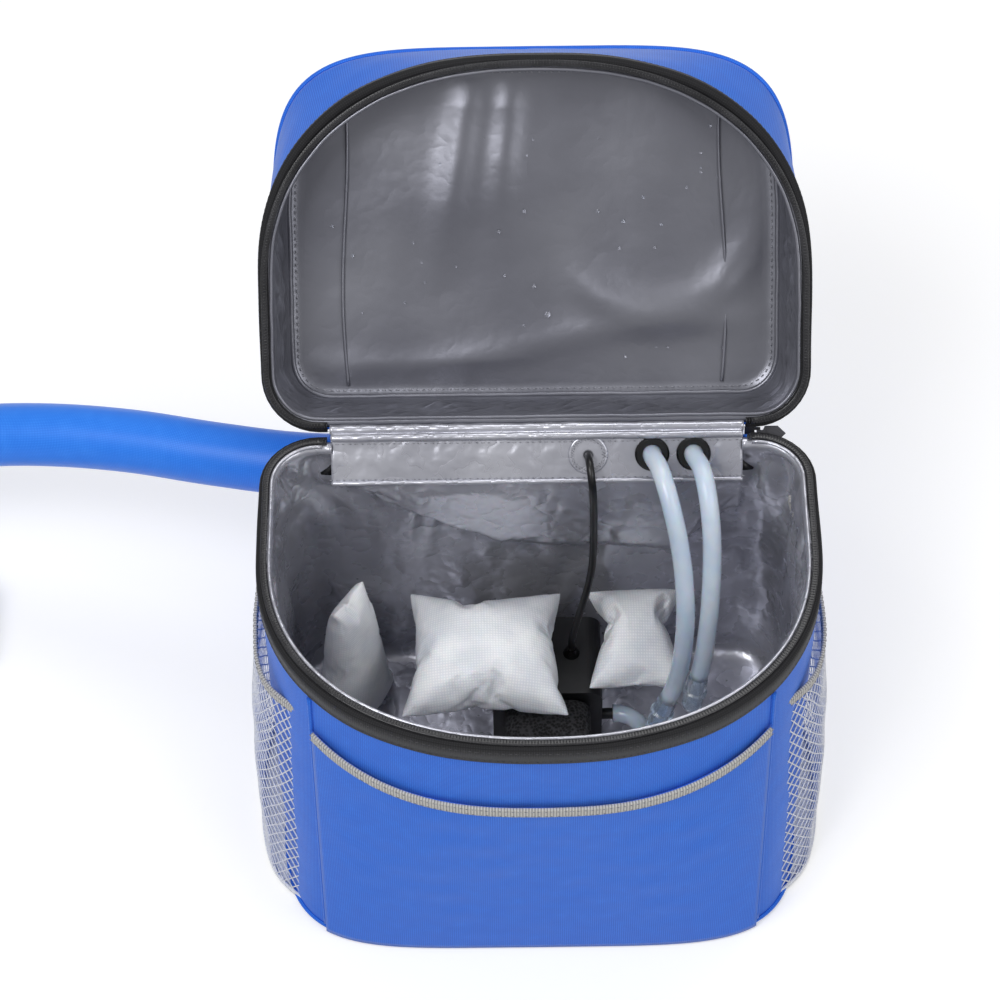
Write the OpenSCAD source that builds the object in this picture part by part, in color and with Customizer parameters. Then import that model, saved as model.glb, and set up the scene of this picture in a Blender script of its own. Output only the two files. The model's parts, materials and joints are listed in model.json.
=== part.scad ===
// Portable cold and hot therapy machine: an insulated soft bag with a zipped lid, a pump in
// its reservoir, and one sleeved hose that carries both water lines to a quick coupling.
// Millimetres. +X is to the right, +Y to the back, +Z up. The origin is the middle of the base.

/* [Bag] */
// Width of the bag at the zip
body_w = 278; // [220:1:340]
// Depth of the bag from front to back
body_d = 184; // [150:1:230]
// Height from the base to the zip
body_h = 200; // [160:1:260]
// Width of the bag at its base
base_w = 270; // [215:1:340]
// Thickness of the outer woven fabric
fabric_t = 1.2; // [0.8:0.1:2]
// Thickness of the foam insulation
foam_t = 5; // [3:0.5:9]
// Thickness of the waterproof lining
lining_t = 0.8; // [0.5:0.1:1.5]
// Distance of the two front seams from the middle
seam_x = 113; // [90:1:120]

/* [Lid] */
// Height of the lid's wall
lid_h = 55; // [35:1:80]
// Width of the lid's top panel
lid_top_w = 266; // [215:1:320]
// How far the lid stands open, from closed
lid_open = 132; // [90:1:135]

/* [Hinge strip] */
// Length of the strip from its foot to the fold
strip_l = 26; // [24:0.5:30]
// Lean of the strip from upright
strip_lean = 42; // [35:1:45]
// Thickness of the strip
strip_t = 2.4; // [1.5:0.1:4]
// Half of the strip's width
strip_half = 100; // [90:1:103]

/* [Pockets] */
// How far the mesh pockets bulge at the base
pocket_bulge = 13; // [9:0.5:18]
// Height of the mouth of the mesh pockets
pocket_mouth = 163; // [120:1:175]
// Height of the front pocket's edge in the middle
front_pocket_h = 147; // [110:1:160]
// How much higher that edge is at its ends
front_pocket_rise = 19; // [5:1:25]

/* [Tubes and hose] */
// Outer diameter of the two silicone tubes
tube_od = 9.5; // [8:0.1:9.8]
// Outer diameter of the power cable
cable_od = 4; // [3:0.1:5]
// Outer diameter of the sleeved hose
hose_od = 34; // [28:0.5:34]
// Outer diameter of the grommets
grommet_od = 17.5; // [15:0.5:18.5]

/* [Pump] */
// Width of the pump
pump_w = 58; // [50:1:58]
// Height of the pump housing
pump_h = 52; // [44:1:52]
// Radius of the impeller
impeller_r = 13; // [10:0.5:14]
// Radius of the impeller's shaft
shaft_r = 1.5; // [1:0.1:2]

/* [Coupling] */
// Bore of the two coupling ports
port_d = 9.4; // [8:0.1:11]
// Depth of the two coupling ports
port_depth = 18; // [12:1:22]
// Travel of the release button
button_travel = 3; // [1:0.5:4]

/* [Hidden] */
$fn = 48;

blue = "#2B6FDD";
lining_grey = "#8E8E98";
mesh_white = "#D8DCEB";
tape_grey = "#B0AEA8";
ink = "#1E1E20";
clear_blue = "#C9DBEF";
pack_white = "#F3F4F6";

clear = 0.3;      // gap left between soft pieces that could rub
face_gap = 0.02;  // gap between two faces that seat on each other
thin = 0.01;      // thickness of the slices that a loft is spanned between
wide = 400;       // larger than the bag, for cutting boxes

// ---------- outlines of the bag ----------

back_y = body_d / 2;
wall_t = fabric_t + foam_t + lining_t;
back_corner_r = 28;   // radius of the two back corners
straight_side = 70;   // from the back to where the side starts to round
front_square = 5;     // how square the front corners are at the base and the lid's top
rim_square = 2.25;    // the same at the zip, which is rounder

// One bag outline, drawn in by inset: straight back, round back corners, one soft front curve
function front_curve(a, b, n) =
  [for (i = [0 : 14]) let (t = 90 * i / 14) [a * pow(cos(t), 2 / n), -b * pow(sin(t), 2 / n)]];
function back_corner(a, r, y) =
  [for (i = [0 : 6]) let (t = 90 * i / 6) [a - r + r * cos(t), y - r + r * sin(t)]];
function right_half(w, d, n, inset) =
  let (a = w / 2 - inset, y_mid = d / 2 - straight_side,
    front = front_curve(a, d - straight_side - inset, n),
    corner = back_corner(a, back_corner_r - inset, d / 2 - inset))
  concat([for (i = [len(front) - 1 : -1 : 0]) front[i] + [0, y_mid]], corner);
function plan(w, d, n, inset) =
  let (right = right_half(w, d, n, inset), count = len(right))
  concat(right, [for (i = [count - 1 : -1 : 1]) [-right[i][0], right[i][1]]]);

module slice(points, z) {
  translate([0, 0, z]) linear_extrude(thin) polygon(points);
}

// The bag's body as a solid, drawn in by inset on its sides
module body_loft(inset, rim_inset) {
  hull() {
    slice(plan(base_w, body_d, front_square, inset), 0);
    slice(plan(body_w, body_d, rim_square, rim_inset), body_h - thin);
  }
}

// A wall between two drawn-in bodies, from height z0 to z1
module body_wall(outer, inner, z0, z1) {
  intersection() {
    difference() {
      body_loft(outer, outer);
      body_loft(inner, inner);
    }
    translate([-wide / 2, -wide / 2, z0]) cube([wide, wide, z1 - z0]);
  }
}

// The cut in the back wall that the hinge strip and the water lines pass over
notch_half = 104;
notch_z = body_h - 22;
module hinge_notch() {
  translate([-notch_half, back_y - 30, notch_z]) cube([2 * notch_half, 60, 60]);
}

module beyond_seam(side) {
  x0 = side > 0 ? seam_x : -seam_x - wide;
  translate([x0, -wide, -wide]) cube([wide, 2 * wide, 2 * wide]);
}

module between_seams(front) {
  y0 = front ? -wide : 0;
  translate([-seam_x, y0, -wide]) cube([2 * seam_x, wide, 2 * wide]);
}

// ---------- shell of the bag ----------

module base_panel() {
  color(blue) linear_extrude(fabric_t) polygon(plan(base_w, body_d, front_square, 0));
}

module front_panel() {
  color(blue) intersection() {
    body_wall(0, fabric_t, fabric_t, body_h);
    between_seams(true);
  }
}

module side_panel(side) {
  color(blue) intersection() {
    body_wall(0, fabric_t, fabric_t, body_h);
    beyond_seam(side);
  }
}
module left_side_panel() side_panel(-1);
module right_side_panel() side_panel(1);

module back_panel() {
  color(blue) difference() {
    intersection() {
      body_wall(0, fabric_t, fabric_t, body_h);
      between_seams(false);
    }
    hinge_notch();
  }
}

board_t = 1.5;
board_gap = 0.6;      // the board is cut this much smaller than the bag all round
foam_floor = fabric_t + board_t;
lining_floor = foam_floor + foam_t;
floor_z = lining_floor + lining_t;

module base_board() {
  color("dimgray") translate([0, 0, fabric_t]) linear_extrude(board_t)
    polygon(plan(base_w, body_d, front_square, fabric_t + board_gap));
}

// A tub that lines the body: outside drawn in by outer, its floor from z0 to z1
module tub(outer, inner, z0, z1) {
  difference() {
    intersection() {
      body_loft(outer, outer);
      translate([-wide / 2, -wide / 2, z0]) cube([wide, wide, body_h - z0]);
    }
    intersection() {
      body_loft(inner, inner);
      translate([-wide / 2, -wide / 2, z1]) cube([wide, wide, body_h]);
    }
    hinge_notch();
  }
}

module body_foam() {
  color("whitesmoke") tub(fabric_t, fabric_t + foam_t, foam_floor, lining_floor);
}

module body_lining() {
  color(lining_grey) tub(fabric_t + foam_t, wall_t, lining_floor, floor_z);
}

// ---------- pockets ----------

pocket_seam_t = 1;
front_gap = 1.2;      // room between the front panel and its pocket
binding_h = 7;        // width of the grey woven tape

// Height of the front pocket's edge at x: lowest in the middle
function pocket_edge(x) = front_pocket_h + front_pocket_rise * pow(x / seam_x, 2);

module under_edge(drop, height) {
  steps = 16;
  xs = [for (i = [0 : steps]) -seam_x + 2 * seam_x * i / steps];
  upper = [for (x = xs) [x, pocket_edge(x) - drop]];
  lower = [for (i = [steps : -1 : 0]) [xs[i], pocket_edge(xs[i]) - drop - height]];
  floor_line = [[seam_x, fabric_t], [-seam_x, fabric_t]];
  rotate([90, 0, 0]) linear_extrude(wide)
    polygon(concat(upper, height > 0 ? lower : floor_line));
}

module front_pocket() {
  color(blue) intersection() {
    union() {
      difference() {
        body_loft(-front_gap - pocket_seam_t, -front_gap - pocket_seam_t);
        body_loft(-front_gap, -front_gap);
      }
      intersection() {
        difference() {
          body_loft(-front_gap, -front_gap);
          body_loft(0, 0);
        }
        for (side = [-1, 1])
          translate([side * (seam_x - 1) - 1, -wide, 0]) cube([2, wide, body_h]);
      }
    }
    under_edge(0, 0);
  }
}

module front_pocket_binding() {
  color(tape_grey) intersection() {
    difference() {
      body_loft(-front_gap - 2 * pocket_seam_t, -front_gap - 2 * pocket_seam_t);
      body_loft(-front_gap - pocket_seam_t, -front_gap - pocket_seam_t);
    }
    under_edge(0, binding_h);
  }
}

// The side net: three flat netted panels between the front seam and the back corner
pocket_back_y = back_y - 14;
pocket_low = 2;
net_t = 1;
net_hem = 1.6;
net_end = 9;         // plain fabric kept at the two ends, where the bag's side cuts the panels
net_half = 6.4;       // half of a gap's diagonal
net_pitch = 7.2;      // half of the distance between two gaps of a row

// The front of the bag at x and height z
function front_at(x, z) =
  let (y_mid = back_y - straight_side, b = body_d - straight_side,
    low = pow(1 - pow(2 * x / base_w, front_square), 1 / front_square),
    high = pow(1 - pow(2 * x / body_w, rim_square), 1 / rim_square))
  y_mid - b * (low + (high - low) * z / body_h);

pocket_seam = seam_x + 1.5;
sunk = 4;             // the panels start inside the bag's side and are cut off at its surface
side_out = base_w / 2 + pocket_bulge;
net_low = [[pocket_seam, front_at(pocket_seam, pocket_low) + sunk],
  [side_out - 3, -46], [side_out + 4, 20], [base_w / 2 - 2, pocket_back_y]];
net_steps = [for (i = [0 : 2]) net_low[i + 1] - net_low[i]];
mouth_share = [0.95, 0.72, 0.96];
mouth_0 = [pocket_seam, front_at(pocket_seam, pocket_mouth) + sunk];
mouth_1 = mouth_0 + mouth_share[0] * net_steps[0];
mouth_2 = mouth_1 + mouth_share[1] * net_steps[1];
net_high = [mouth_0, mouth_1, mouth_2, mouth_2 + mouth_share[2] * net_steps[2]];
function at_height(p, z) = [p[0], p[1], z];

// A flat netted panel over the corners b0, b1, t1, t0, seen from outside
module net_panel(b0, b1, t0, t1, end0, end1) {
  ex = unit(b1 - b0);
  shift0 = (t0 - b0) * ex;
  shift1 = (t1 - b0) * ex;
  up = (t0 - b0) - shift0 * ex;
  ey = unit(up);
  out = cross(ex, ey);
  w = norm(b1 - b0);
  h = norm(up);
  margin = net_half + net_hem;
  rows = floor(h / net_pitch);
  cols = floor(w / net_pitch);
  multmatrix([[ex[0], ey[0], out[0], b0[0]], [ex[1], ey[1], out[1], b0[1]],
    [ex[2], ey[2], out[2], b0[2]], [0, 0, 0, 1]])
    translate([0, 0, -net_t]) linear_extrude(net_t) difference() {
      polygon([[0, 0], [w, 0], [shift1, h], [shift0, h]]);
      for (j = [1 : rows], i = [1 : cols])
        let (x = i * net_pitch, y = j * net_pitch)
          if ((i + j) % 2 == 0 && y > margin && y < h - margin && x > shift0 * y / h + margin + end0
            && x < w + (shift1 - w) * y / h - margin - end1)
            translate([x, y]) rotate(45) square(net_half * sqrt(2), center = true);
    }
}

module net_wall(z0, z1) {
  for (i = [0 : 2]) net_panel(at_height(net_low[i], z0), at_height(net_low[i + 1], z0),
    at_height(net_high[i], z1), at_height(net_high[i + 1], z1),
    i == 0 ? net_end : 0, i == 2 ? net_end : 0);
}

module mesh_pocket(side) {
  color(mesh_white) mirror([side < 0 ? 1 : 0, 0, 0]) difference() {
    union() {
      net_wall(pocket_low, pocket_mouth);
      translate([0, 0, pocket_low + net_t / 5]) linear_extrude(net_t)
        polygon(concat([for (p = net_low) p - [net_t / 2, 0]], [[seam_x - 20, pocket_back_y]]));
    }
    body_loft(-clear, -clear);
  }
}
module left_mesh_pocket() mesh_pocket(-1);
module right_mesh_pocket() mesh_pocket(1);

// An open path drawn in by t, with mitred corners
function side_of(p, i) = let (v = unit(p[i + 1] - p[i])) [-v[1], v[0]];
function drawn_in(p, t) = let (last = len(p) - 1) [for (i = [0 : last])
  let (m = side_of(p, max(i - 1, 0)), n = side_of(p, min(i, last - 1)))
  p[i] + t * (m + n) / (1 + m * n)];

// Above the net's mouth stands the woven binding
module pocket_binding(side) {
  proud = 0.8;
  outer = drawn_in(net_high, -proud / 2);
  inner = drawn_in(net_high, net_t + proud / 2);
  color(tape_grey) mirror([side < 0 ? 1 : 0, 0, 0]) difference() {
    translate([0, 0, pocket_mouth + clear / 2]) linear_extrude(binding_h)
      polygon(concat(outer, [for (i = [3 : -1 : 0]) inner[i]]));
    body_loft(-clear, -clear);
  }
}
module left_pocket_binding() pocket_binding(-1);
module right_pocket_binding() pocket_binding(1);

// ---------- zip of the body ----------

tape_t = 1.2;
tape_h = 12;
coil_h = 2.7;
coil_in = 0.6;
coil_w = 3.6;
zip_end_x = 106;      // the zip stops here on both sides of the hinge strip

module zip_stop() {
  translate([-zip_end_x, 0, -wide]) cube([2 * zip_end_x, wide, 2 * wide]);
}

module body_zip_tape() {
  color(ink) difference() {
    body_wall(-tape_t, 0, body_h - tape_h, body_h);
    zip_stop();
  }
}

module zip_ring(points_out, points_in, z0, height) {
  translate([0, 0, z0]) linear_extrude(height) difference() {
    polygon(points_out);
    polygon(points_in);
  }
}

module body_zip_coil() {
  color(ink) difference() {
    zip_ring(plan(body_w, body_d, rim_square, coil_in),
      plan(body_w, body_d, rim_square, coil_in + coil_w), body_h, coil_h);
    zip_stop();
  }
}

// ---------- hinge strip ----------

fold_out = 3;                       // the lid's fold stands this far behind and above the rim
fold = [0, back_y + fold_out, body_h + fold_out];
fold_gap = 1.2;
up_strip = [0, sin(strip_lean), cos(strip_lean)];
out_strip = [0, -cos(strip_lean), sin(strip_lean)];
strip_top = fold - fold_gap * up_strip;
strip_foot = strip_top - strip_l * up_strip;
line_at = strip_top - 12.4 * up_strip;   // height on the strip of the grommets and the patch

// A sheet of thickness t along points [y, z] and extruded over x from -half to half
module bent_sheet(half, profile) {
  translate([-half, 0, 0]) rotate([90, 0, 90]) linear_extrude(2 * half) polygon(profile);
}

// A cylinder whose axis runs along the water lines, square to the strip
module along_lines(x, r, from, to) {
  translate([x, line_at[1], line_at[2]]) rotate([90 - strip_lean, 0, 0])
    translate([0, 0, from]) cylinder(r = r, h = to - from);
}

supply_x = 58.5;
return_x = 79.5;
cable_x = 26;
barrel_r = tube_od / 2 + 2;
hole_fit = 0.1;

module hinge_strip() {
  half_out = strip_t / 2 * out_strip;
  flap = [0, back_y - wall_t - clear, body_h - 42];
  profile = [
    [strip_top[1] + half_out[1], strip_top[2] + half_out[2]],
    [strip_foot[1] + half_out[1], strip_foot[2] + half_out[2]],
    [flap[1] - lining_t, flap[2]],
    [flap[1], flap[2]],
    [strip_foot[1] - half_out[1], strip_foot[2] - half_out[2]],
    [strip_top[1] - half_out[1], strip_top[2] - half_out[2]]];
  color(lining_grey) difference() {
    bent_sheet(strip_half, profile);
    for (x = [supply_x, return_x]) along_lines(x, barrel_r + hole_fit, -10, 10);
    along_lines(cable_x, cable_od / 2 + 0.6, -10, 10);
  }
}

// Behind the strip the outer fabric goes straight up, then follows the strip to the fold
module hinge_outer_flap() {
  inner = strip_top - (strip_t / 2 + clear) * out_strip;
  outer = inner - fabric_t * out_strip;
  inner_y = back_y - fabric_t;
  inner_z = inner[2] - (inner[1] - inner_y) / tan(strip_lean);
  outer_z = outer[2] - (outer[1] - back_y) / tan(strip_lean);
  profile = [[inner_y, notch_z], [back_y, notch_z], [back_y, outer_z],
    [outer[1], outer[2]], [inner[1], inner[2]], [inner_y, inner_z]];
  color(blue) difference() {
    bent_sheet(notch_half - 1, profile);
    for (x = [supply_x, return_x]) along_lines(x, grommet_od / 2 + clear, -40, 0);
    along_lines(cable_x, cable_od / 2 + 1, -40, 0);
  }
}

module zip_end_tabs() {
  tab = [[0, -9], [0, 2], [3, -3], [10, -8]];
  color(ink) for (side = [-1, 1])
    translate([side * (strip_half + clear), line_at[1], line_at[2]])
      rotate([90 - strip_lean, 0, 0]) mirror([side < 0 ? 1 : 0, 0, 0])
        translate([0, 0, -0.6]) linear_extrude(1.2) polygon(tab);
}

// A rubber eyelet: a barrel through the strip with a rounded flange on either face
module grommet(x) {
  bore = tube_od / 2 + 0.25;
  flange_r = grommet_od / 2;
  half = strip_t / 2;
  lip = 2;
  color(ink) translate([x, line_at[1], line_at[2]]) rotate([90 - strip_lean, 0, 0])
    rotate_extrude($fn = 48) polygon([
      [bore, -half - lip], [flange_r - 1, -half - lip], [flange_r, -half - lip / 2],
      [flange_r, -half], [barrel_r, -half], [barrel_r, half], [flange_r, half],
      [flange_r, half + lip / 2], [flange_r - 1, half + lip], [bore, half + lip]]);
}
module supply_grommet() grommet(supply_x);
module return_grommet() grommet(return_x);

module cable_patch() {
  patch_r = 10;
  patch_t = 0.9;
  color("slategray") difference() {
    along_lines(cable_x, patch_r, strip_t / 2, strip_t / 2 + patch_t);
    along_lines(cable_x, cable_od / 2 + 0.4, 0, 5);
  }
}

// ---------- tubes, cable and hose ----------

function unit(v) = v / norm(v);
function heading(p, i) = unit(p[min(i + 1, len(p) - 1)] - p[max(i - 1, 0)]);

// One tube of radius r along points p. No point of it may head along ref.
module tube(p, r, sides, ref) {
  rings = [for (i = [0 : len(p) - 1]) let (t = heading(p, i), n = unit(cross(t, ref)),
    b = cross(t, n)) for (j = [0 : sides - 1]) let (a = 360 * j / sides)
    p[i] + r * (cos(a) * n + sin(a) * b)];
  last = (len(p) - 1) * sides;
  walls = [for (i = [0 : len(p) - 2], j = [0 : sides - 1]) let (k = (j + 1) % sides,
    a = i * sides + j, b = i * sides + k, c = a + sides, d = b + sides)
    each [[a, c, d], [a, d, b]]];
  caps = [[for (j = [0 : sides - 1]) j], [for (j = [sides - 1 : -1 : 0]) last + j]];
  polyhedron(points = rings, faces = concat(walls, caps));
}

// The point a length l straight on from the end of route p
function onward(p, l) = let (k = len(p) - 1) p[k] + l * unit(p[k] - p[k - 1]);

// Where a line leaves the strip: s is the distance in front of it, along its axis
function off_strip(x, s) = [x, line_at[1], line_at[2]] + s * out_strip;

supply_route = [off_strip(supply_x, 0), off_strip(supply_x, 9), [61.5, 68.5, 203.5],
  [64.5, 57.5, 201.5], [68, 46.5, 193], [71.2, 37, 180], [73.4, 27, 165.5],
  [74.4, 17.5, 149], [74, 11, 131], [72.4, 7.4, 113], [70.2, 5.8, 98], [67, 4.2, 87]];
return_route = [off_strip(return_x, 0), off_strip(return_x, 9), [82.5, 68.5, 203.5],
  [84.6, 57.5, 201.5], [86.4, 46.5, 193], [87.4, 37, 180], [87.4, 28, 165],
  [86.8, 19.5, 149], [85.6, 13.5, 132], [84.2, 9.5, 117], [82.4, 7, 105]];
outlet_x = 40;        // the pump's outlet ends here
gland_top = 70.7;
supply_end = onward(supply_route, 20);
return_end = onward(return_route, 22);
pump_tube_route = [supply_end, onward(supply_route, 22), [59.8, 1, 61.6], [58.4, 2, 55.6],
  [57.4, 5, 49.8], [56.8, 9.6, 44.4], [55.8, 15.2, 40], [53.4, 20.8, 37], [49.4, 25.4, 35.4],
  [44.6, 27.6, 35], [outlet_x + 2, 28, 35], [outlet_x, 28, 35]];
cable_route = [off_strip(cable_x, 1), off_strip(cable_x, 3.5), [26.4, 78.4, 197.5],
  [26.9, 73.1, 196.8], [27.5, 69, 193.3], [28, 67.4, 188.1], [28.4, 67.4, 180], [28.8, 68.5, 168],
  [29.1, 69.6, 154], [29.3, 70, 140], [29.2, 69.2, 128], [28.6, 67, 117], [27, 63.5, 107],
  [24.4, 58.8, 98], [21.4, 53.5, 90], [18.9, 48.9, 82], [18, 47, 76],
  [18, 47, gland_top + face_gap]];
hose_route = [[2, 117, 140], [-22, 117, 140], [-70, 117.5, 140], [-124, 121, 138],
  [-170, 131, 134.5], [-215, 144, 129], [-260, 155, 120.5], [-300, 163.5, 108.5],
  [-340, 170, 90], [-380, 174, 66.5], [-417, 175.7, 44], [-450, 176, 28.6],
  [-480, 176, 19.8], [-503, 176, 17], [-515, 176, 17]];

module supply_tube() {
  color(clear_blue) tube(supply_route, tube_od / 2, 10, [1, 0, 0]);
}

module return_tube() {
  color(clear_blue) tube(return_route, tube_od / 2, 10, [1, 0, 0]);
}

module pump_tube() {
  color(clear_blue) tube(pump_tube_route, tube_od / 2, 10, [0, 0.8, 0.6]);
}

module power_cable() {
  color(ink) tube(cable_route, cable_od / 2, 8, [1, 0, 0]);
}

// Places children on the line from a to b, with Z along it
module aim(a, b) {
  v = b - a;
  turn = atan2(v[1], v[0]);
  dip = acos(v[2] / norm(v));
  translate(a) rotate([0, dip, turn]) children();
}

module barbed_joint(a, b) {
  l = norm(b - a);
  r = tube_od / 2;
  color(clear_blue) aim(a, b) translate([0, 0, face_gap]) rotate_extrude($fn = 32) polygon([
    [r - 2.2, 0], [r, 0], [r + 0.6, 2], [r + 0.6, l / 2 - 2], [r + 1.6, l / 2 - 1],
    [r + 1.6, l / 2 + 1], [r + 0.6, l / 2 + 2], [r + 0.6, l - 2], [r, l - 2 * face_gap],
    [r - 2.2, l - 2 * face_gap]]);
}
module supply_connector() barbed_joint(supply_route[11], supply_end);
module return_nozzle() barbed_joint(return_route[10], return_end);

// Behind the strip each water line turns down and left into the hose
cover_axis_y = back_y + 25;
cover_axis_z = body_h - 60;
supply_back = [off_strip(supply_x, 0), off_strip(supply_x, -10), [57, 99.5, 180],
  [51.5, 106.5, 173], [43, 111.5, 166], [32, 114.5, 158], [20, 116, 151],
  [12, cover_axis_y, 148.2], [6, cover_axis_y, 147.6], [2, cover_axis_y, 147.6]];
return_back = [off_strip(return_x, 0), off_strip(return_x, -10), [78, 99.5, 180],
  [72.5, 106, 171.5], [63.5, 110.5, 161.5], [52, 113.5, 151], [38, 115.5, 141],
  [22, 116.6, 134.6], [12, cover_axis_y, 132.9], [6, cover_axis_y, 132.4],
  [2, cover_axis_y, 132.4]];
inlet_back = [off_strip(cable_x, 1), off_strip(cable_x, -8), [27, 97.5, 178.5],
  [31, 99.5, 168], [38, 100.5, 154], [48, 101.5, 140], [60, 103, 129], [70, 106, 123.5],
  [77, 108, 122], [82, 108, 122]];

module supply_turn() {
  color(clear_blue) tube(supply_back, tube_od / 2, 10, [0.5, 0.4, 0.77]);
}

module return_turn() {
  color(clear_blue) tube(return_back, tube_od / 2, 10, [0.5, 0.4, 0.77]);
}

module inlet_lead() {
  color(ink) tube(inlet_back, cable_od / 2, 8, [0, 1, 0.3]);
}

cover_x0 = -10;
cover_x1 = 98;
cover_t = 2;
cover_out = [[back_y + 2.6, body_h - 4], [back_y + 8.5, body_h - 4],
  [back_y + 34, body_h - 28], [back_y + 44, body_h - 40], [back_y + 44, body_h - 80],
  [back_y + 38, body_h - 86], [back_y + clear, body_h - 86], [back_y + clear, body_h - 24]];
cover_in = [[back_y - 1, body_h - 4 - cover_t], [back_y + 7.7, body_h - 4 - cover_t],
  [back_y + 32.5, body_h - 29.5], [back_y + 42, body_h - 40.8],
  [back_y + 42, body_h - 79.2], [back_y + 37.2, body_h - 84], [back_y - 1, body_h - 84]];
inlet_x0 = 82;
inlet_y = 108;
inlet_z = 122;
inlet_r = 5.5;

module rear_tube_cover() {
  color(blue) difference() {
    translate([cover_x0, 0, 0]) rotate([90, 0, 90])
      linear_extrude(cover_x1 - cover_x0) polygon(cover_out);
    translate([cover_x0 + cover_t, 0, 0]) rotate([90, 0, 90])
      linear_extrude(cover_x1 - cover_x0 - 2 * cover_t) polygon(cover_in);
    translate([cover_x0 - 1, cover_axis_y, cover_axis_z]) rotate([0, 90, 0])
      cylinder(r = hose_od / 2 + hole_fit, h = 2 * cover_t);
    translate([cover_x1 - 2 * cover_t, inlet_y, inlet_z]) rotate([0, 90, 0])
      cylinder(r = inlet_r + hole_fit, h = 4 * cover_t);
  }
}

// Low-voltage power socket in the end of the rear cover
module power_inlet() {
  socket_r = 2.9;
  pin_r = 1;
  color(ink) translate([0, inlet_y, inlet_z]) rotate([0, 90, 0]) difference() {
    union() {
      translate([0, 0, inlet_x0 + face_gap]) cylinder(r = inlet_r, h = cover_x1 - inlet_x0);
      translate([0, 0, cover_x1 + clear]) cylinder(r = inlet_r + 2, h = 1.8);
      translate([0, 0, cover_x1]) cylinder(r = inlet_r, h = clear);
    }
    difference() {
      translate([0, 0, cover_x1 - 8]) cylinder(r = socket_r, h = 20);
      translate([0, 0, cover_x1 - 9]) cylinder(r = pin_r, h = 9);
    }
  }
}
// Stitched cuff that tapers onto the hose where it leaves the cover
module hose_collar() {
  r = hose_od / 2 + 0.2;
  color(blue) translate([cover_x0 - 28, cover_axis_y, cover_axis_z]) rotate([0, 90, 0])
    rotate_extrude($fn = 64) polygon([[r, 0], [r + 1.2, 0], [r + 3.4, 20], [r + 3.4, 28], [r, 28]]);
}

hose_r = hose_od / 2;
coil_r = 187;
coil_mid = [-515, -11];
hose_tail = 72;
module hose_run() {
  color(blue) tube(hose_route, hose_r, 12, [0, 0, 1]);
}

// Three quarters of a turn on the floor, then the straight end with the coupling
coil_step = 10;
coil_start = [coil_mid[0], coil_mid[1] + coil_r, hose_r];
coil_route = concat([coil_start, coil_start - [3, 0, 0]],
  [for (a = [90 + coil_step : coil_step : 360])
    [coil_mid[0] + coil_r * cos(a), coil_mid[1] + coil_r * sin(a), hose_r]],
  [for (l = [hose_tail / 2, hose_tail]) [coil_mid[0] + coil_r, coil_mid[1] + l, hose_r]]);
module hose_coil() {
  color(blue) tube(coil_route, hose_r, 12, [0, 0, 1]);
}

// ---------- coupling on the hose's end ----------

coupling_x = coil_mid[0] + coil_r;
coupling_y = coil_mid[1] + hose_tail;
coupling_z = hose_r;
ferrule_l = 18;
block_l = 46;
block_w = 44;
block_h = 28;
port_gap = 20;
button_l = 20;
button_w = 15;
button_fit = 0.3;
button_well = 12;
button_y = ferrule_l + 13;

module coupling_frame() {
  translate([coupling_x, coupling_y, coupling_z]) children();
}

module rounded_block(w, l, h, r) {
  hull() for (x = [-w / 2 + r, w / 2 - r], z = [-h / 2 + r, h / 2 - r])
    translate([x, 0, z]) rotate([-90, 0, 0]) cylinder(r = r, h = l, $fn = 32);
}

module coupling_body() {
  color("gainsboro") coupling_frame() difference() {
    union() {
      rotate([-90, 0, 0]) cylinder(r = hose_r - 0.5, h = ferrule_l);
      translate([0, ferrule_l, 0]) rounded_block(block_w, block_l, block_h, 6);
    }
    for (x = [-port_gap / 2, port_gap / 2])
      translate([x, ferrule_l + block_l - port_depth, 0]) rotate([-90, 0, 0])
        cylinder(r = port_d / 2, h = port_depth + 1);
    translate([-button_l / 2 - button_fit, button_y - button_w / 2 - button_fit,
      block_h / 2 - button_well])
      cube([button_l + 2 * button_fit, button_w + 2 * button_fit, button_well + 1]);
  }
}

button_low = block_h / 2 - button_well + 2 * button_travel + 1;
module release_button() {
  color("dodgerblue") coupling_frame() translate([0, button_y, button_low]) union() {
    translate([-button_l / 2, -button_w / 2, 0])
      cube([button_l, button_w, block_h / 2 + button_travel - button_low]);
    for (i = [-2 : 2]) translate([i * 3.2 - 0.6, -button_w / 2 + 2, block_h / 2 + button_travel - button_low])
      cube([1.2, button_w - 4, 0.6]);
  }
}

// Four turns of wire between the well's floor and the button
module button_spring() {
  turns = 4;
  per_turn = 12;
  wire_r = 0.5;
  low = block_h / 2 - button_well + wire_r + 0.05;
  high = button_low - wire_r - 0.05;
  route = [for (i = [0 : turns * per_turn]) let (a = 360 * i / per_turn)
    [4 * cos(a), 4 * sin(a), low + (high - low) * i / (turns * per_turn)]];
  color("silver") coupling_frame() translate([0, button_y, 0]) tube(route, wire_r, 6, [0, 0, 1]);
}

// ---------- pump ----------

pump_x = 5;
pump_front = 22;
pump_back = 70;
cover_l = 12;
cup_h = 5;
pump_low = floor_z + cup_h + 0.2;
pump_mid_z = pump_low + pump_h / 2;
chamber_r = impeller_r + 2;
rotor_r = 8;
rotor_l = 22;
running = 0.05;       // the impeller turns on the shaft
shaft_fit = 0.02;     // the shaft is held in housing and cover
outlet_z = 35;

module pump_frame() {
  translate([pump_x, pump_front, pump_mid_z]) children();
}

module pump_block(y, l, r) {
  translate([0, y, 0]) rounded_block(pump_w, l, pump_h, r);
}

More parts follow.
